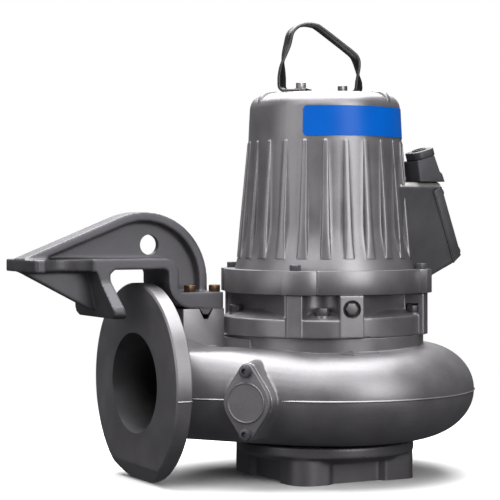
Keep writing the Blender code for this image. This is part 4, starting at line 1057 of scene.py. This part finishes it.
# Guide claw: the bridge over the flange, with a rimmed web above it and a nose with two horns.
# One iron casting, bolted to the pad of the volute and keyed across it.
CLAW_FOOT = (PAD_TOP + 0.0003, 0.266)
SHELF = (0.2975, 0.3145)
CREST = (-0.2665, 0.2810)
CREST_R = 0.0993
RIM_DEPTH = 0.0130
WEB_INSET = 0.006
TANGENT = 111.7
SLING_HOLE = (-0.2525, 0.3337, 0.0145)
CLAW_BOLTS = [(x, OUTLET_Y + side * 0.030) for side in (-1, 1) for x in (-0.2005, -0.1610)]
CLAW_BOLT = (0.0162, 0.0100)
FINGER_LEVELS = [
    (0.3015, -0.3480, 0.045, 0.0168), (0.2830, -0.3450, 0.045, 0.0168), (0.2457, -0.3368, 0.070, 0.0192),
    (0.2370, -0.3345, 0.070, 0.0192), (0.2320, -0.3330, 0.062, 0.0192),
]

bridge = [(-0.3570, SHELF[1])] + arc((-0.2440, SHELF[1] - 0.020), 0.020, 90, 0, 8)
bridge += [(-0.2240, CLAW_FOOT[1] + 0.008)] + arc((-0.2160, CLAW_FOOT[1] + 0.008), 0.008, 180, 270, 6)
bridge += [(-0.1535, CLAW_FOOT[1]), (-0.1535, CLAW_FOOT[0] - 0.003)]
bridge += arc((-0.2020, CLAW_FOOT[0] + 0.038), 0.038, 262, 180, 10)
bridge += [(-0.2400, SHELF[0] - 0.008)] + arc((-0.2480, SHELF[0] - 0.006), 0.008, 0, 90, 6)
bridge += [(-0.3225, SHELF[0] + 0.002), (-0.3290, SHELF[0] - 0.004)]
bridge += [(-0.3290, SHELF[0] - 0.014), (-0.3430, SHELF[0] - 0.020)]
fingers = []
for z, x, half, deep in FINGER_LEVELS:
    near, far = OUTLET_Y - half, OUTLET_Y + half
    fingers.append([(x, near, z), (x + deep, near, z), (x + deep, far, z), (x, far, z)])
half_shelf = [(-0.4490, 0.0), (-0.4460, -0.055), (-0.4430, -0.060), (-0.4315, -0.060)]
half_shelf += arc((-0.3925, -0.050), 0.036, 180, 0, 18)
half_shelf += [(-0.3565, -0.045), (-0.3400, -0.045)]
shelf = [(x, OUTLET_Y + y) for x, y in half_shelf] + [(x, OUTLET_Y - y) for x, y in reversed(half_shelf[1:])]
inner_r = CREST_R - RIM_DEPTH
web_r = CREST_R - WEB_INSET
root = CLAW_FOOT[1] - 0.004
rim = [(-0.4460, SHELF[1] + 0.002)] + arc(CREST, CREST_R, TANGENT, 0, 32)
rim += [(CREST[0] + CREST_R, root), (CREST[0] + inner_r, root)]
rim += list(reversed(arc(CREST, inner_r, TANGENT, 0, 32))) + [(-0.4290, SHELF[1] - 0.004)]
web = [(-0.4290, SHELF[1] - 0.006)] + arc(CREST, web_r, TANGENT, 0, 32)
web += [(CREST[0] + CREST_R - WEB_INSET, root), (-0.2320, root), (-0.2320, SHELF[1] - 0.010)]
gusset = [(-0.4460, SHELF[0] + 0.003), (-0.4460, SHELF[0] - 0.001), (-0.3430, 0.2430)]
gusset += [(-0.3280, 0.2430), (-0.3360, SHELF[0] + 0.006)]
claw_solids = [
    about_outlet("bridge", bridge, 0.045),
    loft("fingers", fingers),
    prism("shelf", shelf, SHELF[0], SHELF[1]),
    about_outlet("rim", rim, 0.020),
    about_outlet("web", web, 0.005),
    about_outlet("gusset", gusset, 0.0075),
]
claw = cast("guide_claw_casting", claw_solids, voxel=0.0015, passes=9)
cut(claw, block("foot_mill", (-0.235, -0.10), (-0.05, 0.20), (0.20, CLAW_FOOT[0])))
key = key_outline(0.010, CLAW_FOOT[0] + 0.004, CLAW_FOOT[0] + 0.0003, CLAW_FOOT[0] - 0.008)
join(claw, about_outlet("key", key, 0.0445))
hole_x, hole_z, hole_r = SLING_HOLE
cut(claw, rod("sling_hole", (hole_x, 0.0, hole_z), (hole_x, 0.14, hole_z), hole_r, 64))
ROUGH_PAINT = paint_on_iron("epoxy_on_rough_sand_cast_iron", "#545357", "#656367", 0.50, 0.46, 0.00013)
BRONZE = bright_steel("zinc_passivated_yellow", "#6f5843", 0.36)
finish(claw, ROUGH_PAINT, ["guide_claw"])
for number, (x, y) in enumerate(CLAW_BOLTS):
    hexagon_bolt(f"claw_bolt_{number + 1}", Vector((x, y, CLAW_FOOT[1])), UP, CLAW_BOLT, BRONZE, 0.3)

# Wet end: the wear ring, the impeller, its screw and the shaft, seen through the eye and the bore.
# Unpainted hard iron and stainless steel; their solids have the right shape and stay.


def bare_iron(name):
    """Hard iron as cast and turned: dark, half metallic, with a grain of about a millimetre."""
    material, tree, shader, place = start_material(name)
    grain = add_node(tree, "ShaderNodeTexNoise", {}, {"Vector": place, "Scale": per_metre(1.5), "Detail": 4.0})
    shades = {0: grain.outputs["Fac"], 6: srgb("#3d3a38"), 7: srgb("#6a6562")}
    colour = add_node(tree, "ShaderNodeMix", {"data_type": "RGBA"}, shades)
    tree.links.new(colour.outputs[2], shader.inputs["Base Color"])
    bump = add_node(tree, "ShaderNodeBump", {}, {"Height": grain.outputs["Fac"], "Strength": 0.4, "Distance": 0.0002})
    tree.links.new(bump.outputs[0], shader.inputs["Normal"])
    shader.inputs["Metallic"].default_value = 0.7
    shader.inputs["Roughness"].default_value = 0.48
    return material


BARE_IRON = bare_iron("hard_iron_as_cast")
WET_END = {
    "insert_ring": BARE_IRON,
    "impeller": BARE_IRON,
    "impeller_screw": STAINLESS,
    "motor_shaft": STAINLESS,
    "inspection_gasket": RUBBER,
}
for node_name, material in WET_END.items():
    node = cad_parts[node_name]
    node.data.materials.clear()
    node.data.materials.append(material)

# Studio: a pale floor that runs into a pale background, one large soft light above and three in front.
# The camera stands low and far away, as for a catalogue picture.
CAMERA_TURN = math.radians(28)
CAMERA_DISTANCE = 2.490
CAMERA_SIDE = 0.1096
CAMERA_HEIGHT = 0.3690
FLOOR_R = 1.3
FLOOR_FADE = (0.35, 1.2)

clear_selection()
bpy.ops.mesh.primitive_circle_add(vertices=96, radius=FLOOR_R, fill_type="NGON", location=(0, 0, 0))
floor = bpy.context.object
floor.name = "studio_floor"
material, tree, shader, place = start_material("pale_floor")
shader.inputs["Base Color"].default_value = srgb("#f6f6f6")
shader.inputs["Roughness"].default_value = 0.9
distance = add_node(tree, "ShaderNodeVectorMath", {"operation": "LENGTH"}, {0: place})
fading = {"Value": distance.outputs["Value"], "From Min": FLOOR_FADE[0], "From Max": FLOOR_FADE[1]}
fading.update({"To Min": 1.0, "To Max": 0.0})
fade = add_node(tree, "ShaderNodeMapRange", {"interpolation_type": "SMOOTHSTEP"}, fading)
tree.links.new(fade.outputs[0], shader.inputs["Alpha"])
floor.data.materials.append(material)
floor.visible_diffuse = False
floor.visible_glossy = False

world = bpy.data.worlds.new("studio")
bpy.context.scene.world = world
world.use_nodes = True
backdrop = world.node_tree.nodes["Background"]
backdrop.inputs["Color"].default_value = (1.0, 1.0, 1.0, 1.0)
backdrop.inputs["Strength"].default_value = 1.0
dim = add_node(world.node_tree, "ShaderNodeBackground", {}, {"Color": (0.97, 0.94, 1.0, 1.0), "Strength": 0.07})
path = add_node(world.node_tree, "ShaderNodeLightPath", {}, {})
seen = {0: path.outputs["Is Camera Ray"], 1: dim.outputs[0], 2: backdrop.outputs[0]}
mix = add_node(world.node_tree, "ShaderNodeMixShader", {}, seen)
world.node_tree.links.new(mix.outputs[0], world.node_tree.nodes["World Output"].inputs["Surface"])

right = Vector((math.cos(CAMERA_TURN), -math.sin(CAMERA_TURN), 0))
forward = Vector((math.sin(CAMERA_TURN), math.cos(CAMERA_TURN), 0))


def soft_light(name, offset, aim, size, power):
    """A softbox that faces the pump; offset and aim are forward, right and up from its middle."""
    middle = Vector((0, 0, 0.3))
    place, target = [middle + forward * f + right * r + UP * u for f, r, u in (offset, aim)]
    data = bpy.data.lights.new(name, "AREA")
    data.shape = "RECTANGLE"
    data.size, data.size_y = size
    data.energy = power
    lamp = bpy.data.objects.new(name, data)
    bpy.context.scene.collection.objects.link(lamp)
    lamp.location = place
    lamp.rotation_euler = (target - place).to_track_quat("-Z", "Y").to_euler()


soft_light("overhead", (0.40, -0.05, 1.5), (0.10, 0.0, 0.0), (2.2, 2.8), 140)
soft_light("front_top", (-1.55, 0.0, 1.35), (0.0, 0.0, 0.0), (3.8, 0.9), 26)
soft_light("front_right", (-1.85, 1.40, 0.55), (0.0, 0.0, 0.1), (1.1, 1.3), 22)
soft_light("left_fill", (-1.5, -2.0, 0.3), (0.0, 0.0, 0.0), (1.4, 1.4), 10)

camera_data = bpy.data.cameras.new("catalogue_camera")
camera_data.lens = 122.4
camera_data.sensor_width = 36
camera_data.shift_y = -0.06
camera = bpy.data.objects.new("catalogue_camera", camera_data)
bpy.context.scene.collection.objects.link(camera)
place = AXIS - right * CAMERA_SIDE - forward * CAMERA_DISTANCE + UP * CAMERA_HEIGHT
facing = Matrix((right, UP, -forward)).transposed()
camera.matrix_world = Matrix.Translation(place) @ facing.to_4x4()
bpy.context.scene.camera = camera
bpy.context.scene.view_settings.view_transform = "Standard"
